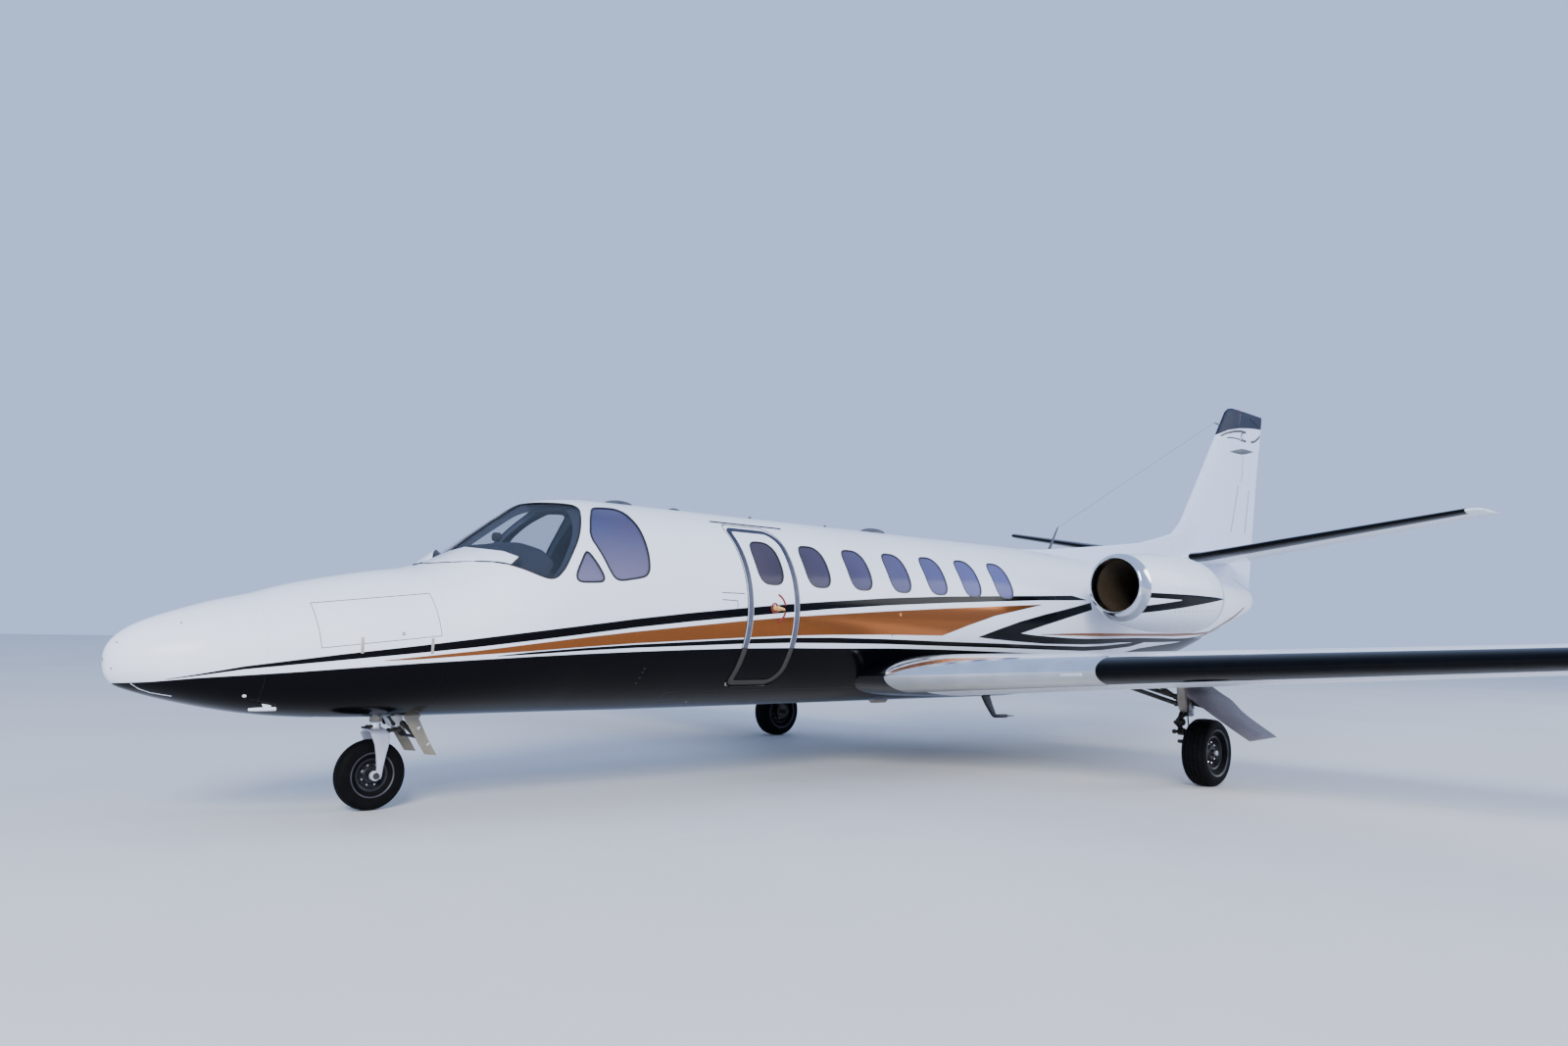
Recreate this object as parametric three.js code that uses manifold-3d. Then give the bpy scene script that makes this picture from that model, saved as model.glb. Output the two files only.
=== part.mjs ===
// A twin-engined business jet standing on its wheels, in millimetres, +X to the nose, +Y to port, +Z up.
import * as THREE from "three";
import { mergeVertices } from "three/addons/utils/BufferGeometryUtils.js";
import Module from "manifold-3d";

const wasm = await Module();
wasm.setup();

// Overall sizes. A station is a distance aft of the nose tip.
const NOSE_X = 7435;
const RING_POINTS = 24;
const SEAM = 0.3;
const SWING_GAP = 8;

// Fuselage shell
const RADOME_END = 750;
const NOSE_END = 1760;
const COCKPIT_END = 3620;
const CABIN_END = 8300;
const TAIL_START = 8340;
const TAIL_END = 14340;
const CABIN_WALL = 70;
const NOSE_WALL = 30;
const TAIL_WALL = 25;
const ROOF_SPLIT = 2075;
const BELLY_SPLIT = 745;
const FLOOR_TOP = 800;
const FLOOR_THICK = 24;

// Fuselage sections
const HULL_COLUMNS = ["s", "halfWidth", "waist", "top", "bottom", "upper", "lower"];
const HULL = [
  [0, 4, 975, 979, 971, 2, 2],
  [20, 75, 972, 1062, 880, 2, 2],
  [60, 130, 970, 1114, 832, 2, 2],
  [120, 185, 966, 1163, 805, 2, 2],
  [250, 262, 966, 1226, 762, 2, 2],
  [400, 325, 975, 1278, 722, 2, 2.1],
  [550, 372, 985, 1326, 688, 2, 2.2],
  [750, 425, 1000, 1375, 652, 2, 2.3],
  [1000, 485, 1020, 1449, 624, 2.05, 2.35],
  [1250, 543, 1045, 1505, 609, 2.05, 2.35],
  [1500, 598, 1075, 1552, 604, 2.05, 2.3],
  [1750, 645, 1110, 1592, 603, 2.1, 2.25],
  [2000, 688, 1160, 1685, 602, 2.15, 2.2],
  [2200, 718, 1205, 1828, 601, 2.1, 2.15],
  [2400, 744, 1250, 1970, 600, 2.05, 2.1],
  [2600, 766, 1295, 2094, 598, 2, 2.05],
  [2800, 784, 1335, 2145, 597, 2, 2],
  [3100, 800, 1370, 2170, 595, 2, 2],
  [3600, 815, 1382, 2172, 592, 2, 2],
  [8300, 815, 1382, 2172, 592, 2, 2],
  [9000, 770, 1400, 2160, 650, 2, 2],
  [10000, 665, 1450, 2140, 770, 2, 2],
  [11000, 525, 1510, 2110, 915, 2, 2],
  [12000, 390, 1580, 2085, 1045, 2, 2],
  [13000, 262, 1670, 2040, 1300, 2, 2],
  [14000, 135, 1765, 1968, 1568, 2, 2],
  [14240, 100, 1790, 1948, 1634, 2, 2],
  [14340, 62, 1800, 1905, 1690, 2, 2],
];

// Cabin windows, one row a side
const WINDOW_STATIONS = [4930, 5437, 5944, 6451, 6958, 7465];
const DOOR_WINDOW_STATION = 4400;
const STARBOARD_FIRST_WINDOW = 4400;
const WINDOW_WIDTH = 260;
const WINDOW_BOTTOM = 1585;
const WINDOW_TOP = 1915;
const WINDOW_CORNER = 60;
const PANE_DEPTH = 6;
const PANE_THICK = 12;
const TRIM_THICK = 13;
const TRIM_EDGE = 14;

// Cabin door, on the port side
const DOOR_FRONT = 4125;
const DOOR_REAR = 4665;
const DOOR_BOTTOM = 785;
const DOOR_TOP = 2045;
const DOOR_CORNER = 90;
const DOOR_HINGE_S = 4120;
const DOOR_HINGE_Y = 840;

// Cockpit glass, seen from the side as station and height
const WINDSHIELD = [
  [1800, 1612], [2000, 1632], [2130, 1634], [2210, 1622], [2300, 1590], [2397, 1547], [2455, 1531],
  [2505, 1545], [2568, 1608], [2640, 1714], [2718, 1823], [2811, 1975], [2880, 2075], [2850, 2104],
  [2600, 2108], [2400, 2020], [1800, 1700],
];
const SIDE_WINDOW = [
  [2809, 1850], [2881, 1980], [2959, 2065], [3010, 2090], [3188, 2098], [3240, 2070], [3262, 1958],
  [3256, 1837], [3246, 1728], [3228, 1628], [3193, 1586], [3149, 1572], [3065, 1557], [2968, 1541],
  [2923, 1560], [2894, 1618], [2862, 1713],
];
const VENT_WINDOW = [
  [2738, 1738], [2765, 1738], [2821, 1634], [2851, 1561], [2835, 1526], [2658, 1518], [2633, 1544],
  [2649, 1598],
];
const CENTRE_POST = 28;

// Nose bay, with a door on each side hinged along its top edge
const BAY_START = 800;
const BAY_END = 1700;
const BAY_FLOOR = 1040;
const BAY_HINGE_FRONT = { s: 1000, y: 350, z: 1330 };
const BAY_HINGE_REAR = { s: 1700, y: 505, z: 1415 };
const BAY_DOOR_DROP = 265;
const WELL_START = 1140;
const WELL_END = 1696;
const WELL_HALF = 162;
const WELL_TOP = 974;

// Wings
const WING_COLUMNS = ["y", "front", "rear", "height", "thickness"];
const WING = [
  [420, 5560, 8720, 838, 0.115],
  [900, 5618, 8690, 862, 0.12],
  [1500, 5960, 8610, 900, 0.13],
  [2050, 6210, 8540, 935, 0.135],
  [5000, 6450, 8150, 1120, 0.125],
  [7700, 6660, 7790, 1290, 0.115],
  [7880, 6740, 7765, 1301, 0.09],
  [7950, 6900, 7740, 1305, 0.05],
];
const SURFACE_START = 0.74;
const FLAP_SPAN = [960, 4780];
const AILERON_SPAN = [4810, 7560];
const SURFACE_REACH = 2500;

// Tailplane and fin
const TAILPLANE = [
  [0, 12280, 13640, 2300, 0.1],
  [300, 12300, 13640, 2316, 0.1],
  [3180, 13060, 13870, 2792, 0.09],
  [3260, 13130, 13860, 2805, 0.07],
  [3300, 13260, 13850, 2810, 0.04],
];
const ELEVATOR_START = 0.66;
const ELEVATOR_SPAN = [330, 3150];
const FIN_COLUMNS = ["z", "front", "rear", "halfThick"];
const FIN = [
  [1700, 11600, 14346, 62],
  [1962, 11700, 14352, 62],
  [2339, 11900, 14420, 66],
  [2801, 12400, 14500, 70],
  [3716, 13125, 14683, 58],
  [4440, 13695, 14860, 42],
  [4500, 13790, 14868, 30],
  [4524, 13900, 14860, 14],
];
const RUDDER_HINGE_LOW = { s: 13930, z: 2420 };
const RUDDER_HINGE_HIGH = { s: 14440, z: 4440 };
const RUDDER_BOTTOM = 2075;
const RUDDER_TOP = 4430;
const RUDDER_NOSE_LEVELS = [2801, 3716];
const DORSAL = [
  [8640, 2130], [8640, 2168], [9153, 2195], [9947, 2272], [10371, 2315], [11300, 2420], [11762, 2512],
  [12130, 2600], [12500, 2850], [12900, 2850], [12900, 2000], [11000, 2060],
];
const DORSAL_HALF = 34;

// Engines
const ENGINE_Y = 1335;
const ENGINE_Z = 1700;
const NACELLE_COLUMNS = ["s", "middle", "high", "wide"];
const NACELLE_OUTSIDE = [
  [8500, 1749, 278, 276],
  [8512, 1749, 296, 292],
  [8560, 1741, 323, 316],
  [8650, 1722, 344, 336],
  [8900, 1708, 380, 374],
  [9250, 1700, 405, 400],
  [9700, 1696, 407, 402],
  [9950, 1688, 392, 386],
  [10080, 1681, 366, 360],
  [10200, 1676, 318, 312],
  [10300, 1674, 262, 258],
];
const NACELLE_DUCT = [
  [8490, 1749, 275, 273],
  [8530, 1748, 263, 261],
  [8650, 1740, 258, 258],
  [9050, 1703, 266, 266],
  [9330, 1700, 270, 270],
];
const NACELLE_CAVITY = [
  [9329, 1700, 324, 322],
  [9700, 1698, 328, 324],
  [9950, 1692, 322, 318],
  [10100, 1684, 300, 294],
  [10200, 1679, 268, 262],
  [10320, 1674, 232, 230],
];
const CORE_PROFILE = [
  [9345, 0], [9345, 258], [9950, 258], [10140, 206], [10290, 200], [10440, 188], [10440, 172],
  [10290, 184], [10180, 176], [10180, 0],
];
const CORE_SIDES = 16;
const SPINNER_PROFILE = [[9120, 0], [9135, 30], [9180, 75], [9240, 88], [9300, 88], [9300, 0]];
const FAN_STATION = 9220;
const FAN_RADIUS = 258;
const FAN_BLADES = 12;
const BLADE_ROOT = 60;
const BLADE_CHORD = 60;
const BLADE_TWIST = 0.6;
const PYLON = [
  [500, 9020, 10230, 1690, 0.09],
  [1500, 9020, 10230, 1702, 0.09],
];

// Wheels, with the radius of the axle and of the rim
const NOSE_WHEEL = { s: 1584, radius: 228.5, width: 112, axle: 16, rim: 108 };
const MAIN_WHEEL = { s: 7680, y: 2680, radius: 279.5, width: 203, axle: 24, rim: 140 };
const BORE_GAP = 5.5;
const BEAD_SHARE = 0.66;

// Nose leg and fork
const STEER_S = 1606;
const FORK_GAP = 12;
const FORK_TOP = 505;
const CROWN_HALF = 45;
const STEM_RADIUS = 34;
const STEM_TOP = 560;
const NOSE_LEG_RADIUS = 46;
const NOSE_LEG_BOTTOM = 566;
const TRUNNION = { low: 700, high: 760, half: 60 };
const NOSE_BRACE = { front: 40, back: 84, half: 40, low: 590, high: 940 };

// Nose gear doors, two narrow plates that hang behind the leg
const NOSE_DOOR_Y = 150;
const NOSE_DOOR_THICK = 8;
const NOSE_DOOR = [
  [1720, 640], [1728, 600], [1790, 500], [1885, 355], [1970, 345], [1908, 445], [1832, 590], [1860, 640],
];
const NOSE_DOOR_TIE = { s: 1840, z: 470, radius: 9 };

// Main legs, with the brace that runs inboard and the door plate that leans out over the tyre
const LEG_INSET = 14;
const LEG_TOP = 1100;
const LEG_LEAN = 60;
const LEG_RADIUS = 42;
const LEG_TOP_RADIUS = 50;
const REAR_STAY_RADIUS = 22;
const SIDE_STAY_RADIUS = 20;
const MAIN_DOOR_COLUMNS = ["y", "z", "front", "rear"];
const MAIN_DOOR = [
  [2575, 885, 7200, 7785], [2780, 726, 7250, 7830], [2990, 566, 7310, 7835], [3200, 425, 7365, 7840],
];
const MAIN_DOOR_TWIST = 16;
const MAIN_DOOR_THICK = 8;

// Seats, with the length of each part as a distance ahead of the seat's middle
const SEAT_HALF_DEPTH = 235;
const SEAT_BACK = { front: 115, rear: 245, low: 300, high: 950 };
const SEAT_CUSHION = { low: 260, high: 400 };
const SEAT_FOOT = { front: -110, rear: 130, half: 100, low: 20, high: 280 };
const SEAT_ARM = { inset: 28, half: 28, low: 390, high: 560, back: 60 };
const CABIN_SEATS = [
  [5230, -1],
  [6330, 1],
  [7180, 1],
];
const CABIN_SEAT_Y = 345;
const CABIN_SEAT_WIDTH = 500;
const CREW_SEAT = { s: 3130, y: 325, width: 430 };
const RAIL_LINES = [-330, -250, 250, 330];
const RAIL_ENDS = [4900, 7850];
const RAIL_TIES = [4905, 7820];

const root = new THREE.Group();
root.name = "business_jet";

const WHITE = "#eceef1";
const BLACK = "#16171a";
const GLASS = "#2e3338";
const METAL = "#aab0b6";
const RUBBER = "#1c1c1d";
const LEATHER = "#c9b79c";

function rowsOf(columns, rows) {
  return rows.map((row) => Object.fromEntries(columns.map((name, i) => [name, row[i]])));
}

const hullRows = rowsOf(HULL_COLUMNS, HULL);
const finRows = rowsOf(FIN_COLUMNS, FIN);

// A point from its station, its distance to port and its height.
function at(s, y, z) {
  return new THREE.Vector3(NOSE_X - s, y, z);
}

// The row of a table at a value of its first column, with the other columns read between rows.
function rowAt(rows, key, value) {
  let i = 0;
  while (i < rows.length - 2 && rows[i + 1][key] < value) i += 1;
  const a = rows[i];
  const b = rows[i + 1];
  const t = Math.min(1, Math.max(0, (value - a[key]) / (b[key] - a[key])));
  return Object.fromEntries(Object.keys(a).map((name) => [name, a[name] + (b[name] - a[name]) * t]));
}

// A closed solid from a geometry, with its faces turned outwards.
function solid(geometry) {
  const bare = new THREE.BufferGeometry();
  const source = geometry.index ? geometry.toNonIndexed() : geometry;
  bare.setAttribute("position", source.getAttribute("position"));
  const merged = mergeVertices(bare, 1e-3);
  const kept = [];
  const index = merged.index.array;
  for (let i = 0; i < index.length; i += 3) {
    const [a, b, c] = [index[i], index[i + 1], index[i + 2]];
    if (a !== b && b !== c && c !== a) kept.push(a, b, c);
  }
  const make = (faces) =>
    new wasm.Manifold(
      new wasm.Mesh({
        numProp: 3,
        vertProperties: merged.attributes.position.array,
        triVerts: new Uint32Array(faces),
      }),
    );
  const made = make(kept);
  return made.volume() < 0 ? make(kept.reverse()) : made;
}

function join(...solids) {
  return solids.reduce((a, b) => a.add(b));
}

function cut(a, ...solids) {
  return solids.reduce((left, b) => left.subtract(b), a);
}

function common(...solids) {
  return solids.reduce((a, b) => a.intersect(b));
}

// The biggest of a solid's separate bodies.
function largest(made) {
  return made.decompose().reduce((a, b) => (a.volume() > b.volume() ? a : b));
}

// A solid through closed rings of points, flat at both ends.
function loft(rings) {
  const n = rings[0].length;
  const points = rings.flat();
  const middle = (ring) => ring.reduce((sum, p) => sum.add(p), new THREE.Vector3()).divideScalar(n);
  points.push(middle(rings[0]), middle(rings[rings.length - 1]));
  const faces = [];
  for (let r = 0; r < rings.length - 1; r += 1) {
    for (let i = 0; i < n; i += 1) {
      const j = (i + 1) % n;
      const [a, b, c, d] = [r * n + i, r * n + j, (r + 1) * n + j, (r + 1) * n + i];
      faces.push(a, b, c, a, c, d);
    }
  }
  const last = (rings.length - 1) * n;
  for (let i = 0; i < n; i += 1) {
    const j = (i + 1) % n;
    faces.push(points.length - 2, j, i, points.length - 1, last + i, last + j);
  }
  const geometry = new THREE.BufferGeometry().setFromPoints(points);
  geometry.setIndex(faces);
  return solid(geometry);
}

function box(s0, s1, y0, y1, z0, z1) {
  const geometry = new THREE.BoxGeometry(s1 - s0, Math.abs(y1 - y0), z1 - z0);
  geometry.translate(NOSE_X - (s0 + s1) / 2, (y0 + y1) / 2, (z0 + z1) / 2);
  return solid(geometry);
}

// A bar with a round or tapered section between two points.
function rod(from, to, radius, radiusTo = radius, sides = 16) {
  const along = to.clone().sub(from);
  const geometry = new THREE.CylinderGeometry(radiusTo, radius, along.length(), sides);
  const direction = along.clone().normalize();
  const turn = new THREE.Quaternion().setFromUnitVectors(new THREE.Vector3(0, 1, 0), direction);
  geometry.applyQuaternion(turn);
  geometry.translate(...from.clone().add(to).multiplyScalar(0.5).toArray());
  return solid(geometry);
}

// A flat bar between two points, with its own width and depth.
function bar(from, to, width, depth, side) {
  const along = to.clone().sub(from);
  const length = along.length();
  const x = along.normalize();
  const y = side.clone().addScaledVector(x, -side.dot(x)).normalize();
  const z = x.clone().cross(y);
  const geometry = new THREE.BoxGeometry(length, width, depth);
  geometry.applyMatrix4(new THREE.Matrix4().makeBasis(x, y, z));
  geometry.translate(...from.clone().add(to).multiplyScalar(0.5).toArray());
  return solid(geometry);
}

// An outline of stations and heights carried across the aircraft.
function acrossPrism(outline, y0, y1) {
  const shape = new THREE.Shape(outline.map(([s, z]) => new THREE.Vector2(NOSE_X - s, z)));
  const geometry = new THREE.ExtrudeGeometry(shape, { depth: Math.abs(y1 - y0), bevelEnabled: false });
  geometry.rotateX(Math.PI / 2);
  geometry.translate(0, Math.max(y0, y1), 0);
  return solid(geometry);
}

// An outline of stations and distances to port carried upwards.
function upPrism(outline, z0, z1) {
  const shape = new THREE.Shape(outline.map(([s, y]) => new THREE.Vector2(NOSE_X - s, y)));
  const geometry = new THREE.ExtrudeGeometry(shape, { depth: z1 - z0, bevelEnabled: false });
  geometry.translate(0, 0, z0);
  return solid(geometry);
}

// A profile of stations and radii turned about a line that runs fore and aft.
function turned(profile, y, z, sides = 24) {
  const points = profile.map(([s, r]) => new THREE.Vector2(r, NOSE_X - s));
  points.push(points[0].clone());
  const geometry = new THREE.LatheGeometry(points, sides);
  geometry.rotateZ(-Math.PI / 2);
  geometry.translate(0, y, z);
  return solid(geometry);
}

// A profile of distances along an axle and radii turned about that axle.
function wheelTurned(profile, s, y, z, sides = 20) {
  const points = profile.map(([along, r]) => new THREE.Vector2(r, along));
  points.push(points[0].clone());
  const geometry = new THREE.LatheGeometry(points, sides);
  geometry.translate(NOSE_X - s, y, z);
  return solid(geometry);
}

// Moves an outline's corners inwards, or outwards for a distance below zero.
function shrunk(outline, distance) {
  const n = outline.length;
  const area = outline.reduce((sum, [s, z], i) => {
    const [t, w] = outline[(i + 1) % n];
    return sum + (s * w - t * z) / 2;
  }, 0);
  const turn = Math.sign(area);
  return outline.map(([s, z], i) => {
    const [ps, pz] = outline[(i + n - 1) % n];
    const [ns, nz] = outline[(i + 1) % n];
    const before = new THREE.Vector2(s - ps, z - pz).normalize();
    const after = new THREE.Vector2(ns - s, nz - z).normalize();
    const normal = new THREE.Vector2(-before.y - after.y, before.x + after.x).normalize();
    const reach = Math.max(0.4, normal.dot(new THREE.Vector2(-before.y, before.x)));
    return [s + (normal.x * turn * distance) / reach, z + (normal.y * turn * distance) / reach];
  });
}

function roundedOutline(s0, s1, z0, z1, corner, steps = 3) {
  const outline = [];
  const corners = [
    [s1 - corner, z1 - corner, 0],
    [s0 + corner, z1 - corner, 1],
    [s0 + corner, z0 + corner, 2],
    [s1 - corner, z0 + corner, 3],
  ];
  for (const [s, z, quarter] of corners) {
    for (let i = 0; i <= steps; i += 1) {
      const angle = ((quarter + i / steps) * Math.PI) / 2;
      outline.push([s + corner * Math.cos(angle), z + corner * Math.sin(angle)]);
    }
  }
  return outline;
}

function hullRing(s, inset, count) {
  const row = rowAt(hullRows, "s", s);
  const ring = [];
  for (let i = 0; i < count; i += 1) {
    const angle = (2 * Math.PI * i) / count;
    const [c, d] = [Math.cos(angle), Math.sin(angle)];
    const power = 2 / (d >= 0 ? row.upper : row.lower);
    const rise = (d >= 0 ? row.top - row.waist : row.waist - row.bottom) - inset;
    const y = Math.max(row.halfWidth - inset, 2) * Math.sign(c) * Math.abs(c) ** power;
    const z = row.waist + Math.max(rise, 2) * Math.sign(d) * Math.abs(d) ** power;
    ring.push(at(s, y, z));
  }
  return ring;
}

// The fuselage between two stations, its surface moved in by an inset.
function hull(s0, s1, inset = 0, count = RING_POINTS) {
  const stations = [s0, ...hullRows.map((row) => row.s).filter((s) => s > s0 + 1 && s < s1 - 1), s1];
  return loft(stations.map((s) => hullRing(s, inset, count)));
}

// The half width of the fuselage's outside at a station and a height.
function hullHalfWidth(s, z) {
  const row = rowAt(hullRows, "s", s);
  const up = z > row.waist;
  const share = Math.min(1, Math.abs(z - row.waist) / (up ? row.top - row.waist : row.waist - row.bottom));
  const power = up ? row.upper : row.lower;
  return row.halfWidth * (1 - share ** power) ** (1 / power);
}

// An engine pod's surface through its oval sections, moved out by a margin.
function podLoft(table, y, margin = 0) {
  return loft(rowsOf(NACELLE_COLUMNS, table).map(({ s, middle, high, wide }, i, rows) => {
    const station = s + (i === 0 ? -margin : 0) + (i === rows.length - 1 ? margin : 0);
    return Array.from({ length: RING_POINTS }, (_, k) => {
      const angle = (2 * Math.PI * k) / RING_POINTS;
      return at(station, y + (wide + margin) * Math.cos(angle), middle + (high + margin) * Math.sin(angle));
    });
  }));
}

// The region behind a hinge line, with square ends, grown by a margin at the ends and forwards
function behindHinge(a, b, margin = 0, forward = 0) {
  const along = b.clone().sub(a);
  const length = along.length();
  const x = along.normalize();
  const aft = new THREE.Vector3(-1, 0, 0);
  const y = aft.clone().addScaledVector(x, -aft.dot(x)).normalize();
  const geometry = new THREE.BoxGeometry(length + 2 * margin, SURFACE_REACH + forward, SURFACE_REACH);
  geometry.translate(length / 2, (SURFACE_REACH - forward) / 2, 0);
  geometry.applyMatrix4(new THREE.Matrix4().makeBasis(x, y, x.clone().cross(y)));
  geometry.translate(...a.toArray());
  return solid(geometry);
}

// The half thickness of a wing section at a share of its chord.
function foil(share, thickness) {
  const root = 0.2969 * Math.sqrt(share) - 0.126 * share - 0.3516 * share ** 2;
  return 5 * thickness * (root + 0.2843 * share ** 3 - 0.1036 * share ** 4);
}

const FOIL_SHARES = [0, 0.012, 0.05, 0.13, 0.3, 0.5, 0.66, 0.74, 1];

// A wing, tailplane or pylon through rows of sections, with its surface moved out by a margin.
function wing(rows, side, margin = 0) {
  const rings = rows.map(({ y, front, rear, height, thickness }) => {
    const chord = rear - front;
    const half = (share) => foil(share, thickness) * chord + 3 * share + margin;
    const x = (share) => front - margin + share * (chord + 2 * margin);
    const upper = FOIL_SHARES.map((share) => at(x(share), side * y, height + half(share)));
    const lower = FOIL_SHARES.slice(1).reverse();
    const under = lower.map((share) => at(x(share), side * y, height - half(share)));
    return [...upper, ...under, at(x(0), side * y, height - half(0) - 1)];
  });
  return loft(rings);
}

// A point of a moving surface's hinge at a distance out along the wing, and the half thickness there.
function hingeAt(rows, key, share, y) {
  const row = rowAt(rows, "y", y);
  const chord = row.rear - row.front;
  return {
    s: row.front + share * chord,
    y,
    z: row.height,
    half: foil(share, row.thickness) * chord + 3 * share,
  };
}

const wingRows = rowsOf(WING_COLUMNS, WING);
const tailRows = rowsOf(WING_COLUMNS, TAILPLANE);
const pylonRows = rowsOf(WING_COLUMNS, PYLON);

function add(name, made, colour, options = {}) {
  const mesh = made.getMesh();
  const points = new Float32Array(mesh.numVert * 3);
  for (let i = 0; i < mesh.numVert; i += 1) {
    points.set(mesh.vertProperties.subarray(i * mesh.numProp, i * mesh.numProp + 3), i * 3);
  }
  const indexed = new THREE.BufferGeometry();
  indexed.setAttribute("position", new THREE.BufferAttribute(points, 3));
  indexed.setIndex(new THREE.BufferAttribute(mesh.triVerts, 1));
  const geometry = indexed.toNonIndexed();
  geometry.computeVertexNormals();
  const material = new THREE.MeshStandardMaterial({ color: colour, roughness: 0.4, ...options });
  const piece = new THREE.Mesh(geometry, material);
  piece.name = name;
  root.add(piece);
}

const sides = [
  { word: "left", sign: 1 },
  { word: "right", sign: -1 },
];

// Radome: a shell closed at the tip and open behind
const radome = cut(hull(0, RADOME_END - SEAM), hull(60, RADOME_END + 10, NOSE_WALL));
add("radome", radome, WHITE);

// Nose bay doors, each a piece of the skin hinged along its top edge
function bayFrame(sign) {
  const front = at(BAY_HINGE_FRONT.s, sign * BAY_HINGE_FRONT.y, BAY_HINGE_FRONT.z);
  const rear = at(BAY_HINGE_REAR.s, sign * BAY_HINGE_REAR.y, BAY_HINGE_REAR.z);
  const along = rear.clone().sub(front);
  const length = along.length();
  const x = along.normalize();
  const up = new THREE.Vector3(0, 0, 1);
  const z = up.clone().addScaledVector(x, -up.dot(x)).normalize();
  const y = z.clone().cross(x);
  return { front, length, x, y, z };
}

function bayBlock(sign, margin) {
  const { front, length, x, y, z } = bayFrame(sign);
  const reach = length - 2 * SWING_GAP + 2 * margin;
  const geometry = new THREE.BoxGeometry(reach, 900, BAY_DOOR_DROP + 2 * margin);
  geometry.translate(length / 2, 0, -SWING_GAP - BAY_DOOR_DROP / 2);
  geometry.applyMatrix4(new THREE.Matrix4().makeBasis(x, y, z));
  geometry.translate(...front.toArray());
  return common(solid(geometry), box(0, 3000, sign * 60, sign * 2000, 0, 3000));
}

// Nose section: the bay above, the wheel well below, and a wall at the back
const noseSkin = hull(RADOME_END, NOSE_END - SEAM);
const bay = cut(
  hull(BAY_START, BAY_END, NOSE_WALL),
  box(0, 3000, -1500, 1500, 0, BAY_FLOOR),
);
const well = box(WELL_START, WELL_END, -WELL_HALF, WELL_HALF, 0, WELL_TOP);
let noseSection = cut(noseSkin, bay, well);
for (const { word, sign } of sides) {
  noseSection = cut(noseSection, bayBlock(sign, SWING_GAP));
  const skin = cut(hull(BAY_START + 60, NOSE_END - 30), hull(BAY_START, NOSE_END, NOSE_WALL));
  add(`nose_bay_door_${word}`, common(skin, bayBlock(sign, 0)), WHITE);
}
add("nose_section", noseSection, WHITE);

// Pressure shell from the windshield to the rear bulkhead
const pressureShell = cut(hull(NOSE_END, CABIN_END), hull(NOSE_END - 50, CABIN_END + 50, CABIN_WALL));

function cockpitGlass(distance) {
  const pieces = [];
  for (const { sign } of sides) {
    pieces.push(acrossPrism(shrunk(WINDSHIELD, distance), sign * (CENTRE_POST + distance), sign * 1200));
    pieces.push(acrossPrism(shrunk(SIDE_WINDOW, distance), sign * 200, sign * 1200));
    pieces.push(acrossPrism(shrunk(VENT_WINDOW, distance), sign * 200, sign * 1200));
  }
  return join(...pieces);
}

const cockpitBand = box(NOSE_END, COCKPIT_END - SEAM, -1500, 1500, 0, 3000);
add("cockpit_shell", cut(common(pressureShell, cockpitBand), cockpitGlass(0)), WHITE);

// Window panes set in the wall, each on a trim ring that joins them inside the wall
function glazing(cutters, inner, region, s0, s1) {
  const skin = hull(s0, s1, PANE_DEPTH);
  const paneBack = hull(s0 - 20, s1 + 20, PANE_DEPTH + PANE_THICK);
  const lining = hull(s0 - 10, s1 + 10, CABIN_WALL + 0.5, RING_POINTS / 2);
  const liningBack = hull(s0 - 20, s1 + 20, CABIN_WALL + 0.5 + TRIM_THICK, RING_POINTS / 2);
  const tubes = common(cutters, cut(skin, liningBack));
  const frame = common(region, cut(lining, liningBack));
  return cut(join(tubes, frame), common(inner, paneBack));
}

const cockpitTrimOutline = [
  [1795, 1560], [2380, 1490], [3330, 1490], [3330, 2140], [1795, 2140],
];
add(
  "cockpit_glass",
  glazing(
    cockpitGlass(0.5),
    cockpitGlass(TRIM_EDGE),
    acrossPrism(cockpitTrimOutline, -1200, 1200),
    NOSE_END + 10,
    COCKPIT_END - 40,
  ),
  GLASS,
  { roughness: 0.1 },
);

// Cabin door: each level's rear edge is an arc about the hinge, so that the door swings clear of its frame
function doorCutter(margin) {
  const low = DOOR_BOTTOM - margin;
  const high = DOOR_TOP + margin;
  const levels = [];
  const steps = [0, 0.3, 0.7, 1];
  for (const step of steps) levels.push(low + DOOR_CORNER * step);
  for (let z = 1000; z < high - DOOR_CORNER; z += 130) levels.push(z);
  for (const step of steps) levels.push(high - DOOR_CORNER + DOOR_CORNER * step);
  const rings = levels.map((z) => {
    const into = Math.max(0, low + DOOR_CORNER - z, z - high + DOOR_CORNER) / DOOR_CORNER;
    const pull = DOOR_CORNER * (1 - Math.sqrt(Math.max(0, 1 - into ** 2)));
    const front = DOOR_FRONT - margin + pull * 0.8;
    const reach = DOOR_REAR - pull * 0.8 - DOOR_HINGE_S;
    const radius = Math.hypot(reach, DOOR_HINGE_Y - hullHalfWidth(4400, z)) + margin;
    const ring = [at(front, 1100, z), at(DOOR_HINGE_S + radius, 1100, z)];
    for (const angle of [0, 0.24, 0.48, 0.72, 0.96, 1.2]) {
      ring.push(at(DOOR_HINGE_S + radius * Math.cos(angle), DOOR_HINGE_Y - radius * Math.sin(angle), z));
    }
    ring.push(at(front, DOOR_HINGE_Y - radius * Math.sin(1.2), z));
    return ring;
  });
  return loft(rings);
}

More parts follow.
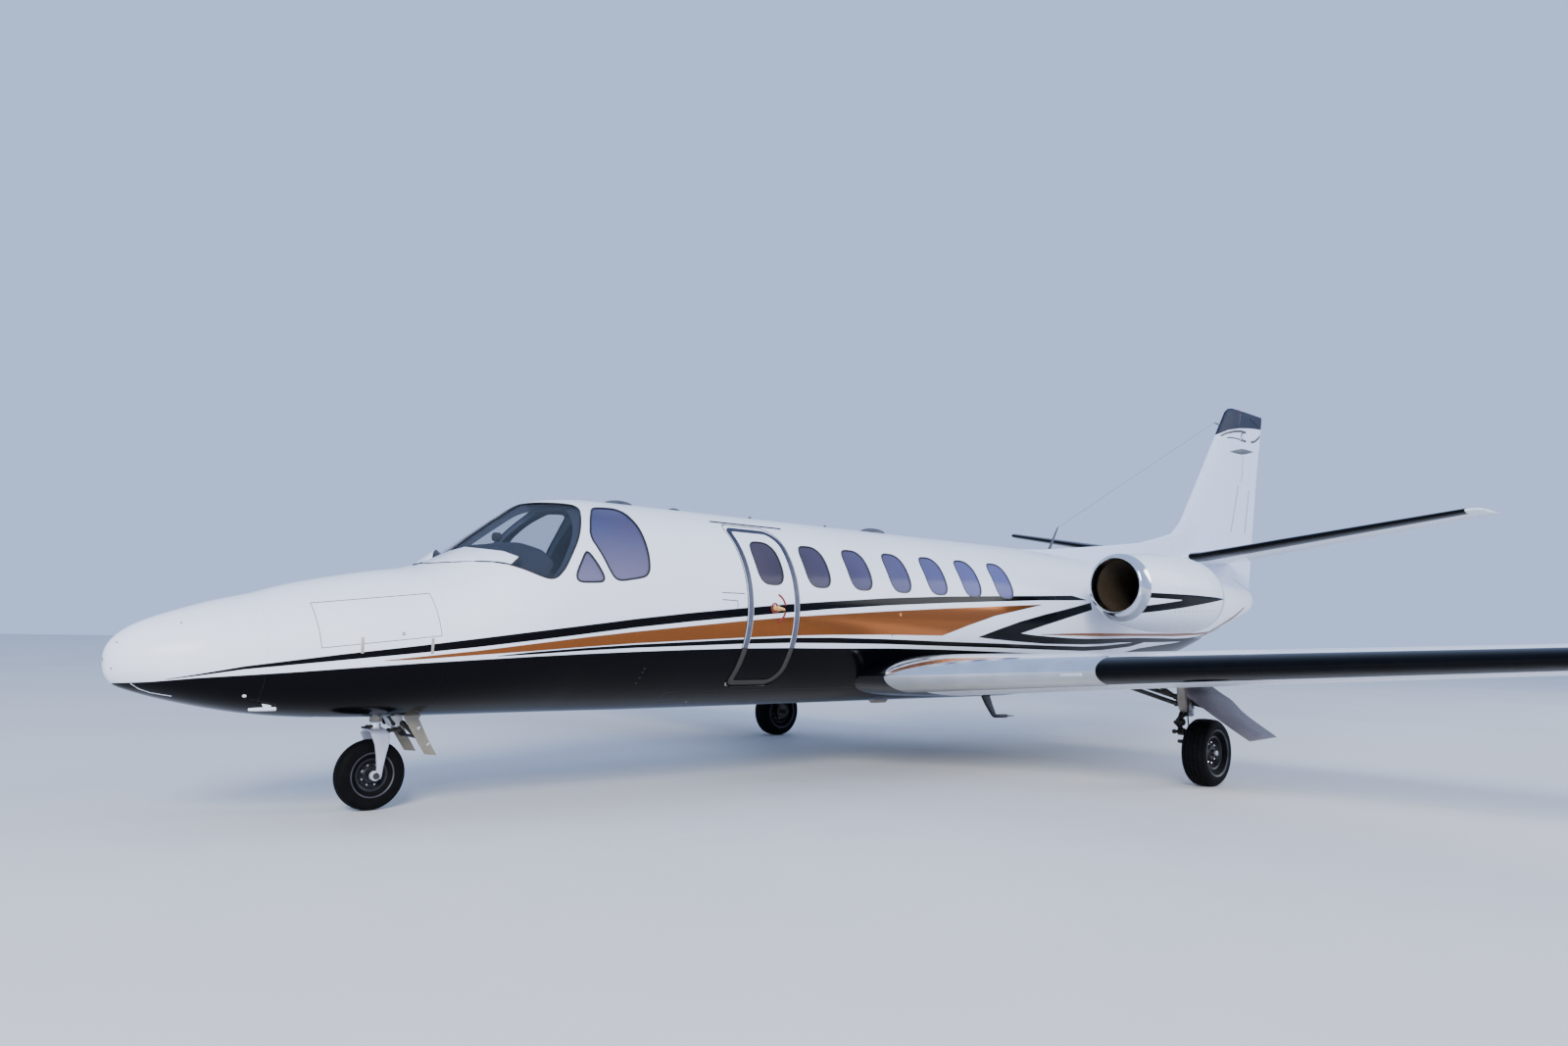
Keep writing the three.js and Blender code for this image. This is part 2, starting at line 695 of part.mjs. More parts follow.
const doorWindow = roundedOutline(
  DOOR_WINDOW_STATION - WINDOW_WIDTH / 2, DOOR_WINDOW_STATION + WINDOW_WIDTH / 2,
  WINDOW_BOTTOM, WINDOW_TOP, WINDOW_CORNER, 1,
);

function windowOutline(s) {
  return roundedOutline(
    s - WINDOW_WIDTH / 2, s + WINDOW_WIDTH / 2, WINDOW_BOTTOM, WINDOW_TOP, WINDOW_CORNER, 1,
  );
}

const doorWall = common(pressureShell, doorCutter(0));
add("cabin_door", cut(doorWall, acrossPrism(doorWindow, 0, 1200)), WHITE);
add(
  "door_window",
  common(
    acrossPrism(shrunk(doorWindow, 0.5), 0, 1200),
    cut(hull(4000, 4800, PANE_DEPTH), hull(3990, 4810, PANE_DEPTH + PANE_THICK)),
  ),
  GLASS,
);

// Cabin walls
for (const { word, sign } of sides) {
  const stations = sign > 0 ? WINDOW_STATIONS : [STARBOARD_FIRST_WINDOW, ...WINDOW_STATIONS];
  const holes = join(...stations.map((s) => acrossPrism(windowOutline(s), sign * 200, sign * 1200)));
  const paneAt = (s, edge) => acrossPrism(shrunk(windowOutline(s), edge), sign * 200, sign * 1200);
  const panes = join(...stations.map((s) => paneAt(s, 0.5)));
  const inner = join(...stations.map((s) => paneAt(s, TRIM_EDGE)));
  const band = box(COCKPIT_END, CABIN_END - SEAM, 0, sign * 1500, BELLY_SPLIT, ROOF_SPLIT - SEAM);
  let wall = cut(common(pressureShell, band), holes);
  if (sign > 0) wall = cut(wall, doorCutter(SWING_GAP));
  add(`cabin_side_${word}`, wall, WHITE);
  const first = stations[0] - WINDOW_WIDTH / 2 - 50;
  const last = stations[stations.length - 1] + WINDOW_WIDTH / 2 + 50;
  const region = box(first, last, sign * 200, sign * 1200, WINDOW_BOTTOM - 50, WINDOW_TOP + 40);
  add(
    `cabin_windows_${word}`,
    glazing(panes, inner, region, first - 10, last + 10),
    GLASS,
    { roughness: 0.1 },
  );
}
add(
  "cabin_roof",
  common(pressureShell, box(COCKPIT_END, CABIN_END - SEAM, -1500, 1500, ROOF_SPLIT, 3000)),
  WHITE,
);
add(
  "cabin_belly",
  common(pressureShell, box(COCKPIT_END, CABIN_END - SEAM, -1500, 1500, 0, BELLY_SPLIT - SEAM)),
  BLACK,
);
add("rear_bulkhead", hull(CABIN_END, TAIL_START - SEAM), METAL);

// Floor, with the cabin seats standing on rails
const floor = common(
  hull(NOSE_END + 30, CABIN_END - 20, CABIN_WALL + 8),
  box(NOSE_END + 40, CABIN_END - 30, -1500, 1500, FLOOR_TOP - FLOOR_THICK, FLOOR_TOP),
);
add("cabin_floor", floor, "#8b8378");

function seat(s, y, facing, width, base) {
  const half = width / 2;
  const span = (front, rear) => [s + facing * front, s + facing * rear].sort((a, b) => a - b);
  const [cushionFront, cushionRear] = span(-SEAT_HALF_DEPTH, SEAT_HALF_DEPTH);
  const [backFront, backRear] = span(SEAT_BACK.front, SEAT_BACK.rear);
  const [footFront, footRear] = span(SEAT_FOOT.front, SEAT_FOOT.rear);
  const armFront = Math.min(cushionFront, backFront) + SEAT_ARM.back;
  const armRear = Math.max(cushionRear, backRear) - SEAT_ARM.back;
  const arm = (middle) => box(
    armFront, armRear, middle - SEAT_ARM.half, middle + SEAT_ARM.half,
    base + SEAT_ARM.low, base + SEAT_ARM.high,
  );
  return join(
    box(cushionFront, cushionRear, y - half, y + half, base + SEAT_CUSHION.low, base + SEAT_CUSHION.high),
    box(backFront, backRear, y - half, y + half, base + SEAT_BACK.low, base + SEAT_BACK.high),
    box(
      footFront, footRear, y - SEAT_FOOT.half, y + SEAT_FOOT.half,
      base + SEAT_FOOT.low, base + SEAT_FOOT.high,
    ),
    arm(y + half - SEAT_ARM.inset),
    arm(y - half + SEAT_ARM.inset),
  );
}

const SEAT_BASE = FLOOR_TOP + SEAM;
const rails = RAIL_LINES.map((y) => box(...RAIL_ENDS, y - 14, y + 14, SEAT_BASE, SEAT_BASE + 22));
for (const s of RAIL_TIES) {
  rails.push(box(s, s + 26, RAIL_LINES[0] - 14, RAIL_LINES[3] + 14, SEAT_BASE, SEAT_BASE + 18));
}
const cabinSeats = sides.flatMap(({ sign }) =>
  CABIN_SEATS.map(([s, facing]) => seat(s, sign * CABIN_SEAT_Y, facing, CABIN_SEAT_WIDTH, SEAT_BASE)));
add("cabin_seats", join(...rails, ...cabinSeats), LEATHER);

// Crew seats, tied to the pedestal between them
const pedestal = box(2560, 3000, -110, 110, SEAT_BASE, SEAT_BASE + 330);
const pedestalFoot = box(2900, 3100, -60, 60, SEAT_BASE, SEAT_BASE + 40);
const crossTie = box(3060, 3140, -340, 340, SEAT_BASE, SEAT_BASE + 30);
const crewSeats = sides.map(({ sign }) =>
  seat(CREW_SEAT.s, sign * CREW_SEAT.y, 1, CREW_SEAT.width, SEAT_BASE));
add("cockpit_seats", join(...crewSeats, crossTie, pedestal, pedestalFoot), LEATHER);

// Instrument panel, with the glare shield over it
const panel = common(
  hull(2000, 2700, CABIN_WALL + 18, RING_POINTS / 2),
  join(
    box(2330, 2470, -700, 700, 1130, 1560),
    box(2120, 2520, -700, 700, 1545, 1590),
  ),
);
add("instrument_panel", panel, BLACK);

// Tail section: a thin shell that carries the engines and the tail
const tailSkin = hull(TAIL_START, TAIL_END);
const tailVoid = hull(TAIL_START - 20, 13300, TAIL_WALL);

function rudderLine(z) {
  const t = (z - RUDDER_HINGE_LOW.z) / (RUDDER_HINGE_HIGH.z - RUDDER_HINGE_LOW.z);
  return RUDDER_HINGE_LOW.s + t * (RUDDER_HINGE_HIGH.s - RUDDER_HINGE_LOW.s);
}

function finSolid(margin = 0) {
  const rings = finRows.map(({ z, front, rear, halfThick }) => {
    const chord = rear - front;
    const half = (share) => {
      const bulge = foil(share, 1) / 0.5;
      return bulge * halfThick + 3 * share + margin;
    };
    const upper = FOIL_SHARES.map((share) => at(front + share * chord, half(share), z));
    const lower = FOIL_SHARES.slice(1).reverse().map((share) => at(front + share * chord, -half(share), z));
    return [...upper, ...lower, at(front, -half(0) - 1, z)];
  });
  return loft(rings);
}

// The half thickness of the fin at a station and a height.
function finHalf(s, z) {
  const row = rowAt(finRows, "z", z);
  const share = Math.min(1, Math.max(0, (s - row.front) / (row.rear - row.front)));
  return (foil(share, 1) / 0.5) * row.halfThick + 3 * share;
}

function rudderHinge(z) {
  return at(rudderLine(z), 0, z);
}

const rudderBlock = (margin) => behindHinge(rudderHinge(RUDDER_BOTTOM), rudderHinge(RUDDER_TOP), margin);

// The rudder's round nose, as thick as the fin at each level
function rudderNose(margin) {
  const levels = [RUDDER_BOTTOM, ...RUDDER_NOSE_LEVELS, RUDDER_TOP];
  const beyond = rudderHinge(RUDDER_TOP).sub(rudderHinge(RUDDER_BOTTOM)).setLength(margin);
  const half = (z) => finHalf(rudderLine(z), z) + margin;
  return join(...levels.slice(1).map((z, i) => {
    const low = rudderHinge(levels[i]).sub(i === 0 ? beyond : new THREE.Vector3());
    const high = rudderHinge(z).add(z === RUDDER_TOP ? beyond : new THREE.Vector3());
    return rod(low, high, half(levels[i]), half(z), 12);
  }));
}

const tailplane = join(wing(tailRows, 1), wing(tailRows, -1));
const tailplaneSlot = join(wing(tailRows, 1, SEAM), wing(tailRows, -1, SEAM));
const dorsal = acrossPrism(DORSAL, -DORSAL_HALF, DORSAL_HALF);
const finAll = join(finSolid(), dorsal);
const sternCut = join(rudderBlock(SWING_GAP), rudderNose(SWING_GAP));
const fin = cut(finAll, sternCut, hull(8000, 14400, -SEAM), tailplaneSlot);
add("fin", largest(fin), WHITE);
const rudder = join(common(finSolid(), rudderBlock(0)), rudderNose(0));
add("rudder", largest(rudder), WHITE);
add("tail_section", largest(cut(tailSkin, tailVoid, sternCut)), WHITE);

// The region of a wing's or tailplane's moving surface
function surfaceBlock(rows, share, span, sign, margin = 0, forward = 0) {
  const [a, b] = span.map((y) => hingeAt(rows, "y", share, y));
  return behindHinge(at(a.s, sign * a.y, a.z), at(b.s, sign * b.y, b.z), margin, forward);
}

// The round nose that a moving surface turns on
function surfaceNose(rows, share, span, sign, margin = 0) {
  const [a, b] = span.map((y) => hingeAt(rows, "y", share, y));
  const low = at(a.s, sign * a.y, a.z);
  const high = at(b.s, sign * b.y, b.z);
  const beyond = high.clone().sub(low).setLength(margin);
  return rod(low.sub(beyond), high.add(beyond), a.half + margin, b.half + margin, 12);
}

for (const { word, sign } of sides) {
  // Wing, flap and aileron
  const full = wing(wingRows, sign);
  const flapBlock = surfaceBlock(wingRows, SURFACE_START, FLAP_SPAN, sign);
  const flapCut = surfaceBlock(wingRows, SURFACE_START, FLAP_SPAN, sign, SWING_GAP, SWING_GAP);
  const aileronBlock = surfaceBlock(wingRows, SURFACE_START, AILERON_SPAN, sign);
  const aileronNose = surfaceNose(wingRows, SURFACE_START, AILERON_SPAN, sign);
  const aileronCut = join(
    surfaceBlock(wingRows, SURFACE_START, AILERON_SPAN, sign, SWING_GAP),
    surfaceNose(wingRows, SURFACE_START, AILERON_SPAN, sign, SWING_GAP),
  );
  const body = cut(full, hull(4000, 10000, -SEAM), flapCut, aileronCut);
  add(`wing_${word}`, largest(body), WHITE);
  add(`flap_${word}`, largest(common(full, flapBlock)), WHITE);
  add(`aileron_${word}`, largest(join(common(full, aileronBlock), aileronNose)), WHITE);

  // Elevator
  const half = wing(tailRows, sign);
  const elevator = join(
    common(half, surfaceBlock(tailRows, ELEVATOR_START, ELEVATOR_SPAN, sign)),
    surfaceNose(tailRows, ELEVATOR_START, ELEVATOR_SPAN, sign),
  );
  add(`elevator_${word}`, largest(elevator), WHITE);

  // Engine nacelle, core, fan and pylon
  const y = sign * ENGINE_Y;
  const outside = podLoft(NACELLE_OUTSIDE, y);
  add(`nacelle_${word}`, cut(outside, podLoft(NACELLE_DUCT, y), podLoft(NACELLE_CAVITY, y)), WHITE);
  add(`engine_core_${word}`, turned(CORE_PROFILE, y, ENGINE_Z, CORE_SIDES), METAL);
  const blades = [];
  for (let i = 0; i < FAN_BLADES; i += 1) {
    const geometry = new THREE.BoxGeometry(8, BLADE_CHORD, FAN_RADIUS - BLADE_ROOT);
    geometry.rotateZ(BLADE_TWIST);
    geometry.translate(0, 0, (BLADE_ROOT + FAN_RADIUS) / 2);
    geometry.rotateX((2 * Math.PI * i) / FAN_BLADES);
    geometry.translate(NOSE_X - FAN_STATION, y, ENGINE_Z);
    blades.push(solid(geometry));
  }
  const disc = turned([[9120, 0], [9120, FAN_RADIUS], [9320, FAN_RADIUS], [9320, 0]], y, ENGINE_Z);
  add(`fan_${word}`, join(turned(SPINNER_PROFILE, y, ENGINE_Z, 12), common(join(...blades), disc)), METAL);
  const pylon = cut(
    wing(pylonRows, sign),
    hull(8000, 12000, -SEAM),
    podLoft(NACELLE_OUTSIDE, y, SEAM),
    box(8000, 12000, sign * ENGINE_Y, sign * 2500, 0, 3000),
  );
  add(`pylon_${word}`, largest(pylon), WHITE);
}

let tailplaneBody = tailplane;
for (const { sign } of sides) {
  tailplaneBody = cut(
    tailplaneBody,
    surfaceBlock(tailRows, ELEVATOR_START, ELEVATOR_SPAN, sign, SWING_GAP),
    surfaceNose(tailRows, ELEVATOR_START, ELEVATOR_SPAN, sign, SWING_GAP),
  );
}
add("tailplane", tailplaneBody, WHITE);

// A tyre's profile across its width, with shoulders and beads
function tyreProfile({ radius, width, rim }) {
  const half = width / 2;
  const belly = rim + (radius - rim) * 0.45;
  return [
    [-half * BEAD_SHARE, rim], [-half, belly], [-half * 0.86, radius - 22], [-half * 0.42, radius],
    [half * 0.42, radius], [half * 0.86, radius - 22], [half, belly], [half * BEAD_SHARE, rim],
  ];
}

// A hub's profile: a web between two rim flanges
function hubProfile({ width, rim, axle }) {
  const half = width / 2;
  const bore = axle + BORE_GAP;
  return [
    [-half * 0.5, bore], [-half * 0.5, bore + 24], [-half * 0.2, rim - 34], [-half * BEAD_SHARE, rim - 18],
    [-half * BEAD_SHARE, rim - SEAM], [half * BEAD_SHARE, rim - SEAM], [half * BEAD_SHARE, rim - 18],
    [half * 0.2, rim - 34], [half * 0.5, bore + 24], [half * 0.5, bore],
  ];
}

// Nose gear: a fixed leg, and a fork that steers with its wheel
add("nose_tyre", wheelTurned(tyreProfile(NOSE_WHEEL), NOSE_WHEEL.s, 0, NOSE_WHEEL.radius), RUBBER);
add("nose_wheel", wheelTurned(hubProfile(NOSE_WHEEL), NOSE_WHEEL.s, 0, NOSE_WHEEL.radius), METAL);
const forkReach = NOSE_WHEEL.width / 2 + FORK_GAP;
const axleAt = (y) => at(NOSE_WHEEL.s, y, NOSE_WHEEL.radius);
const acrossWay = new THREE.Vector3(0, 1, 0);
const forkArm = (sign) => {
  const y = sign * (forkReach + 10);
  return bar(axleAt(y), at(STEER_S, y, FORK_TOP), 20, 46, acrossWay);
};
const crown = box(
  STEER_S - CROWN_HALF, STEER_S + CROWN_HALF, -forkReach - 20, forkReach + 20, FORK_TOP - 25, FORK_TOP + 17,
);
const axleRod = rod(axleAt(-forkReach - 26), axleAt(forkReach + 26), NOSE_WHEEL.axle);
const stem = rod(at(STEER_S, 0, FORK_TOP + 10), at(STEER_S, 0, STEM_TOP), STEM_RADIUS);
add("nose_fork", join(forkArm(1), forkArm(-1), crown, axleRod, stem), METAL);
const trunnion = box(
  STEER_S - TRUNNION.half, STEER_S + TRUNNION.half, -WELL_HALF + SEAM, WELL_HALF - SEAM,
  TRUNNION.low, TRUNNION.high,
);
const noseBrace = box(
  STEER_S + NOSE_BRACE.front, STEER_S + NOSE_BRACE.back - SEAM, -NOSE_BRACE.half, NOSE_BRACE.half,
  NOSE_BRACE.low, NOSE_BRACE.high,
);
const noseLeg = rod(at(STEER_S, 0, NOSE_LEG_BOTTOM), at(STEER_S, 0, WELL_TOP - SEAM), NOSE_LEG_RADIUS);
add("nose_gear_leg", join(noseLeg, trunnion, noseBrace), METAL);
const noseDoors = sides.map(({ sign }) =>
  acrossPrism(NOSE_DOOR, sign * NOSE_DOOR_Y, sign * (NOSE_DOOR_Y + NOSE_DOOR_THICK)));
const tieEnd = (sign) => at(NOSE_DOOR_TIE.s, sign * (NOSE_DOOR_Y + 4), NOSE_DOOR_TIE.z);
const doorTie = rod(tieEnd(-1), tieEnd(1), NOSE_DOOR_TIE.radius);
add("nose_gear_doors", cut(join(...noseDoors, doorTie), hull(1000, 2600, -SEAM)), WHITE);

// Main gear: a leg under each wing with its stays, a door plate and a wheel
for (const { word, sign } of sides) {
  const { s, y, radius, width, axle } = MAIN_WHEEL;
  const inner = y - width / 2 - LEG_INSET;
  const outer = y + width / 2 + 12;
  add(`main_tyre_${word}`, wheelTurned(tyreProfile(MAIN_WHEEL), s, sign * y, radius), RUBBER);
  add(`main_wheel_${word}`, wheelTurned(hubProfile(MAIN_WHEEL), s, sign * y, radius), METAL);
  const axleLine = rod(at(s, sign * (inner - 60), radius), at(s, sign * outer, radius), axle);
  const post = rod(
    at(s, sign * (inner - 40), radius - 20), at(s - LEG_LEAN, sign * (inner - 50), LEG_TOP),
    LEG_RADIUS, LEG_TOP_RADIUS,
  );
  const rearStay = rod(
    at(s + 20, sign * (inner - 40), radius + 120), at(s + 110, sign * (inner - 60), LEG_TOP),
    REAR_STAY_RADIUS,
  );
  const sideStay = rod(
    at(s - 30, sign * (inner - 50), 560), at(s - 40, sign * (inner - 420), 1000),
    SIDE_STAY_RADIUS,
  );
  const wingSlot = wing(wingRows, sign, SEAM);
  add(`main_gear_leg_${word}`, largest(cut(join(axleLine, post, rearStay, sideStay), wingSlot)), METAL);
  const plate = loft(rowsOf(MAIN_DOOR_COLUMNS, MAIN_DOOR).map((row) => [
    at(row.front, sign * row.y, row.z),
    at(row.rear, sign * row.y, row.z + MAIN_DOOR_TWIST),
    at(row.rear, sign * row.y, row.z + MAIN_DOOR_TWIST + MAIN_DOOR_THICK),
    at(row.front, sign * row.y, row.z + MAIN_DOOR_THICK),
  ]));
  add(`main_gear_door_${word}`, largest(cut(plate, wingSlot)), WHITE);
}

export default root;
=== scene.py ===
# A twin-engined business jet on its wheels, in metres: +X to the nose, +Y to port, +Z up.
import math

import bpy
from mathutils import Matrix, Vector


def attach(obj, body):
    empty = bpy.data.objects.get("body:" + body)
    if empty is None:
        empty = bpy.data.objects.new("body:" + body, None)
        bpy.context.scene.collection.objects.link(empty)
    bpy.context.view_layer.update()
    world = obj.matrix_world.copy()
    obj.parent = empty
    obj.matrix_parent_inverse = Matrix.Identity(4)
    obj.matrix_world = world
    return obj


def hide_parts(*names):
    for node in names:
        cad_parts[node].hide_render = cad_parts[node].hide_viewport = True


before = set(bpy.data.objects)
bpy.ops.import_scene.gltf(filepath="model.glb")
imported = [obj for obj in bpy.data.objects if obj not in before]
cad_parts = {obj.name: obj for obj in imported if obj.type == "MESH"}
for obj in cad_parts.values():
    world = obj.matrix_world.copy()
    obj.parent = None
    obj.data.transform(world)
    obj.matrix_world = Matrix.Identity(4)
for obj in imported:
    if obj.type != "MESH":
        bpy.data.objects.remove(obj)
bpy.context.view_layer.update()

nose_tip = 7.435


# Camera: it stands ahead of the port wing tip, a little over a metre above the ground,
# and looks aft along the cabin. Its lens is given by the photograph's own perspective.
focal_pixels = 1158.144
photo_width = 1600
yaw, pitch, roll = (math.radians(angle) for angle in (46.989875, 5.478819, 1.261888))
forward = Vector((-math.cos(pitch) * math.cos(yaw), -math.cos(pitch) * math.sin(yaw), math.sin(pitch)))
level = Vector((-math.sin(yaw), math.cos(yaw), 0))
upright = level.cross(forward)
right = math.cos(roll) * level + math.sin(roll) * upright
above = math.cos(roll) * upright - math.sin(roll) * level
turn = Matrix((right, above, -forward)).transposed()
bpy.ops.object.camera_add()
camera = bpy.context.object
camera.name = "camera"
camera.matrix_world = Matrix.Translation((9.03858, 7.331106, 1.212982)) @ turn.to_4x4()
camera.data.sensor_width = 36
camera.data.lens = 36 * focal_pixels / photo_width
camera.data.clip_end = 500
bpy.context.scene.camera = camera


# Floor and light: a plain pale floor under a bright even sky, with one broad soft light
# from ahead on the port side and one weaker light from the tail.
def linear(code):
    """The linear colour of an sRGB hex code."""
    parts = [int(code[i:i + 2], 16) / 255 for i in (1, 3, 5)]
    return [c / 12.92 if c <= 0.04045 else ((c + 0.055) / 1.055) ** 2.4 for c in parts] + [1]


def add_node(material, kind, inputs=None, **settings):
    """A shader node with its settings made and its inputs set to values or linked to outputs."""
    made = material.node_tree.nodes.new("ShaderNode" + kind)
    for name, value in settings.items():
        setattr(made, name, value)
    for socket, value in (inputs or {}).items():
        if isinstance(value, bpy.types.NodeSocket):
            material.node_tree.links.new(value, made.inputs[socket])
        else:
            made.inputs[socket].default_value = value
    return made


def new_material(name, colour, **surface):
    """A material with one surface shader of an sRGB colour."""
    material = bpy.data.materials.new(name)
    material.use_nodes = True
    material.node_tree.nodes.clear()
    inputs = {"Base Color": linear(colour)}
    inputs.update({key.replace("_", " "): value for key, value in surface.items()})
    shader = add_node(material, "BsdfPrincipled", inputs)
    add_node(material, "OutputMaterial", {0: shader.outputs[0]})
    return material, shader


def link(material, output, socket):
    material.node_tree.links.new(output, socket)


def place_of(material):
    """The piece's own coordinates in metres, and each of them apart."""
    place = add_node(material, "TexCoord").outputs["Object"]
    apart = add_node(material, "SeparateXYZ", {0: place})
    return place, apart.outputs[0], apart.outputs[1], apart.outputs[2]


def noise(material, place, scale, detail=3):
    return add_node(material, "TexNoise", {"Vector": place, "Scale": scale, "Detail": detail}).outputs[0]


def spread(material, value, low, high):
    """A noise value, which lies mostly between 0.3 and 0.7, spread between two values."""
    return add_node(material, "MapRange", {0: value, 1: 0.3, 2: 0.7, 3: low, 4: high}).outputs[0]


def mix(material, share, first, second):
    inputs = {0: share, 6: first, 7: second}
    return add_node(material, "Mix", inputs, data_type="RGBA").outputs[2]


def uneven(material, shader, colours, rough, bump, scale):
    """Small changes of colour, gloss and height all over a surface."""
    place = place_of(material)[0]
    broad = spread(material, noise(material, place, scale / 12), 0, 1)
    fine = noise(material, place, scale)
    tint = mix(material, broad, linear(colours[0]), linear(colours[1]))
    link(material, tint, shader.inputs["Base Color"])
    link(material, spread(material, fine, *rough), shader.inputs["Roughness"])
    inputs = {"Strength": bump[0], "Distance": bump[1], "Height": fine}
    link(material, add_node(material, "Bump", inputs).outputs[0], shader.inputs["Normal"])
    return tint


def worn_material(name, colour, colours, rough, bump, scale, **surface):
    """A material with small changes of colour, gloss and height all over it."""
    material, shader = new_material(name, colour, **surface)
    uneven(material, shader, colours, rough, bump, scale)
    return material


bpy.ops.mesh.primitive_plane_add(size=160)
floor = bpy.context.object
floor.name = "floor"
floor_paint = worn_material(  # matt and pale, a little uneven
    "pale_floor", "#d9d8d6", ("#d6d5d3", "#dddcda"), (0.6, 0.8), (0.1, 0.002), 3, Roughness=0.7,
)
floor.data.materials.append(floor_paint)

sky = bpy.data.worlds.new("sky")
bpy.context.scene.world = sky
sky.use_nodes = True
sky.node_tree.nodes["Background"].inputs[0].default_value = linear("#b4cbfa")
sky.node_tree.nodes["Background"].inputs[1].default_value = 1.2

for name, place, aim, size, power in (
    ("key_light", (22, 20, 14), (3, 0, 1), 10, 11000),
    ("tail_light", (-22, 16, 12), (-5, 0, 2), 12, 3000),
):
    bpy.ops.object.light_add(type="AREA", location=place)
    light = bpy.context.object
    light.name = name
    light.rotation_euler = (Vector(aim) - Vector(place)).to_track_quat("-Z", "Y").to_euler()
    light.data.size = size
    light.data.energy = power


# Livery: gloss white two-pack paint with black and copper stripes that run along the sides
# to a bolt under the engines, over a black belly. The stripes are masked and sprayed, so they
# lie in the paint and cross every panel joint. Each edge is a line of heights along the side.
main_upper = ((0.27, 0.870), (0.641, 0.946), (1.154, 1.02), (1.603, 1.078), (1.942, 1.124), (2.307, 1.174),
              (2.705, 1.227), (3.095, 1.279), (3.54, 1.331), (4.05, 1.382), (4.53, 1.428), (5.047, 1.469),
              (5.729, 1.52), (6.485, 1.562), (7.281, 1.596), (8.022, 1.625), (8.65, 1.652), (8.94, 1.617))
main_lower = ((0.27, 0.870), (0.642, 0.932), (1.157, 0.988), (1.605, 1.036), (1.946, 1.074), (2.313, 1.12),
              (2.713, 1.172), (3.104, 1.223), (3.54, 1.271), (4.05, 1.321), (4.53, 1.366), (5.044, 1.411),
              (5.721, 1.461), (6.471, 1.505), (7.266, 1.547), (8.005, 1.583), (8.65, 1.606), (8.94, 1.617))
copper_upper = (
    (1.396, 0.984), (1.608, 1.009), (1.949, 1.047), (2.317, 1.095), (2.718, 1.146), (3.115, 1.191),
    (3.55, 1.235), (4.06, 1.285), (4.53, 1.326), (5.045, 1.362), (5.718, 1.407), (6.464, 1.452),
    (7.252, 1.496), (8.032, 1.538)
)
copper_lower = ((1.396, 0.984), (1.61, 0.996), (1.952, 1.024), (2.326, 1.052), (2.733, 1.084), (3.13, 1.112),
                (3.57, 1.136), (4.09, 1.163), (4.56, 1.185), (5.072, 1.2), (5.743, 1.21), (6.477, 1.212),
                (6.83, 1.31), (7.243, 1.41), (7.804, 1.502), (8.032, 1.538))
thin_upper = ((2.1, 1.017), (2.328, 1.042), (2.737, 1.074), (3.136, 1.1), (3.58, 1.123), (4.05, 1.147),
              (4.57, 1.166), (5.082, 1.173), (5.759, 1.169), (6.511, 1.156), (7.298, 1.147), (8.172, 1.134),
              (8.9, 1.127), (9.342, 1.136), (10.057, 1.174), (10.6, 1.22))
thin_lower = ((2.1, 1.0165), (2.33, 1.03), (2.74, 1.058), (3.14, 1.08), (3.58, 1.097), (4.1, 1.117),
              (4.58, 1.129), (5.094, 1.132), (5.77, 1.13), (6.522, 1.119), (7.311, 1.109), (8.189, 1.094),
              (8.921, 1.084), (9.37, 1.095), (10.095, 1.134), (10.6, 1.2))
belly_upper = (
    (0.055, 0.842), (0.192, 0.852), (0.409, 0.877), (0.899, 0.912), (1.439, 0.955), (1.613, 0.968),
    (1.959, 0.99), (2.335, 1.012), (2.75, 1.032), (3.153, 1.049), (3.6, 1.065), (4.11, 1.079),
    (4.59, 1.085), (5.113, 1.085), (5.791, 1.09), (6.549, 1.083), (7.872, 1.056), (8.976, 1.046),
    (9.921, 1.06), (10.427, 1.114), (11.5, 1.18), (12.6, 1.27)
)
bolt_upper = ((7.014, 1.204), (7.3, 1.279), (7.649, 1.362), (8.072, 1.442), (8.505, 1.512), (9.016, 1.591))
bolt_inner = ((7.665, 1.249), (8.07, 1.339), (8.489, 1.424), (9.063, 1.527))
limb_upper = (
    (7.665, 1.249), (7.864, 1.234), (8.158, 1.223), (8.523, 1.212), (8.921, 1.209), (9.556, 1.219),
    (10.268, 1.232), (11.452, 1.236), (11.855, 1.245), (12.297, 1.268), (12.753, 1.322), (13.3, 1.42)
)
limb_lower = ((7.014, 1.204), (7.236, 1.19), (7.541, 1.175), (8.12, 1.153), (8.87, 1.153), (9.31, 1.162),
              (9.778, 1.18), (11.116, 1.192), (11.92, 1.207), (12.212, 1.243), (12.64, 1.291), (13.3, 1.40))
pinstripe_upper = (
    (8.02, 1.243), (8.43, 1.257), (8.818, 1.266), (9.246, 1.272), (9.968, 1.278), (11.381, 1.295),
    (12.204, 1.315), (12.722, 1.341), (13.059, 1.426), (13.551, 1.569), (13.9, 1.70)
)
pinstripe_lower = (
    (8.02, 1.242), (8.43, 1.242), (9.259, 1.242), (9.981, 1.255), (11.411, 1.268), (12.244, 1.291),
    (12.772, 1.317), (13.059, 1.39), (13.551, 1.52), (13.9, 1.68)
)
curve_height = 2.0  # the range of heights that the edges' curves cover


def maths(material, operation, *values, clamp=False):
    inputs = dict(enumerate(values))
    return add_node(material, "Math", inputs, operation=operation, use_clamp=clamp).outputs[0]


def station_of(material, x):
    return maths(material, "SUBTRACT", nose_tip, x)


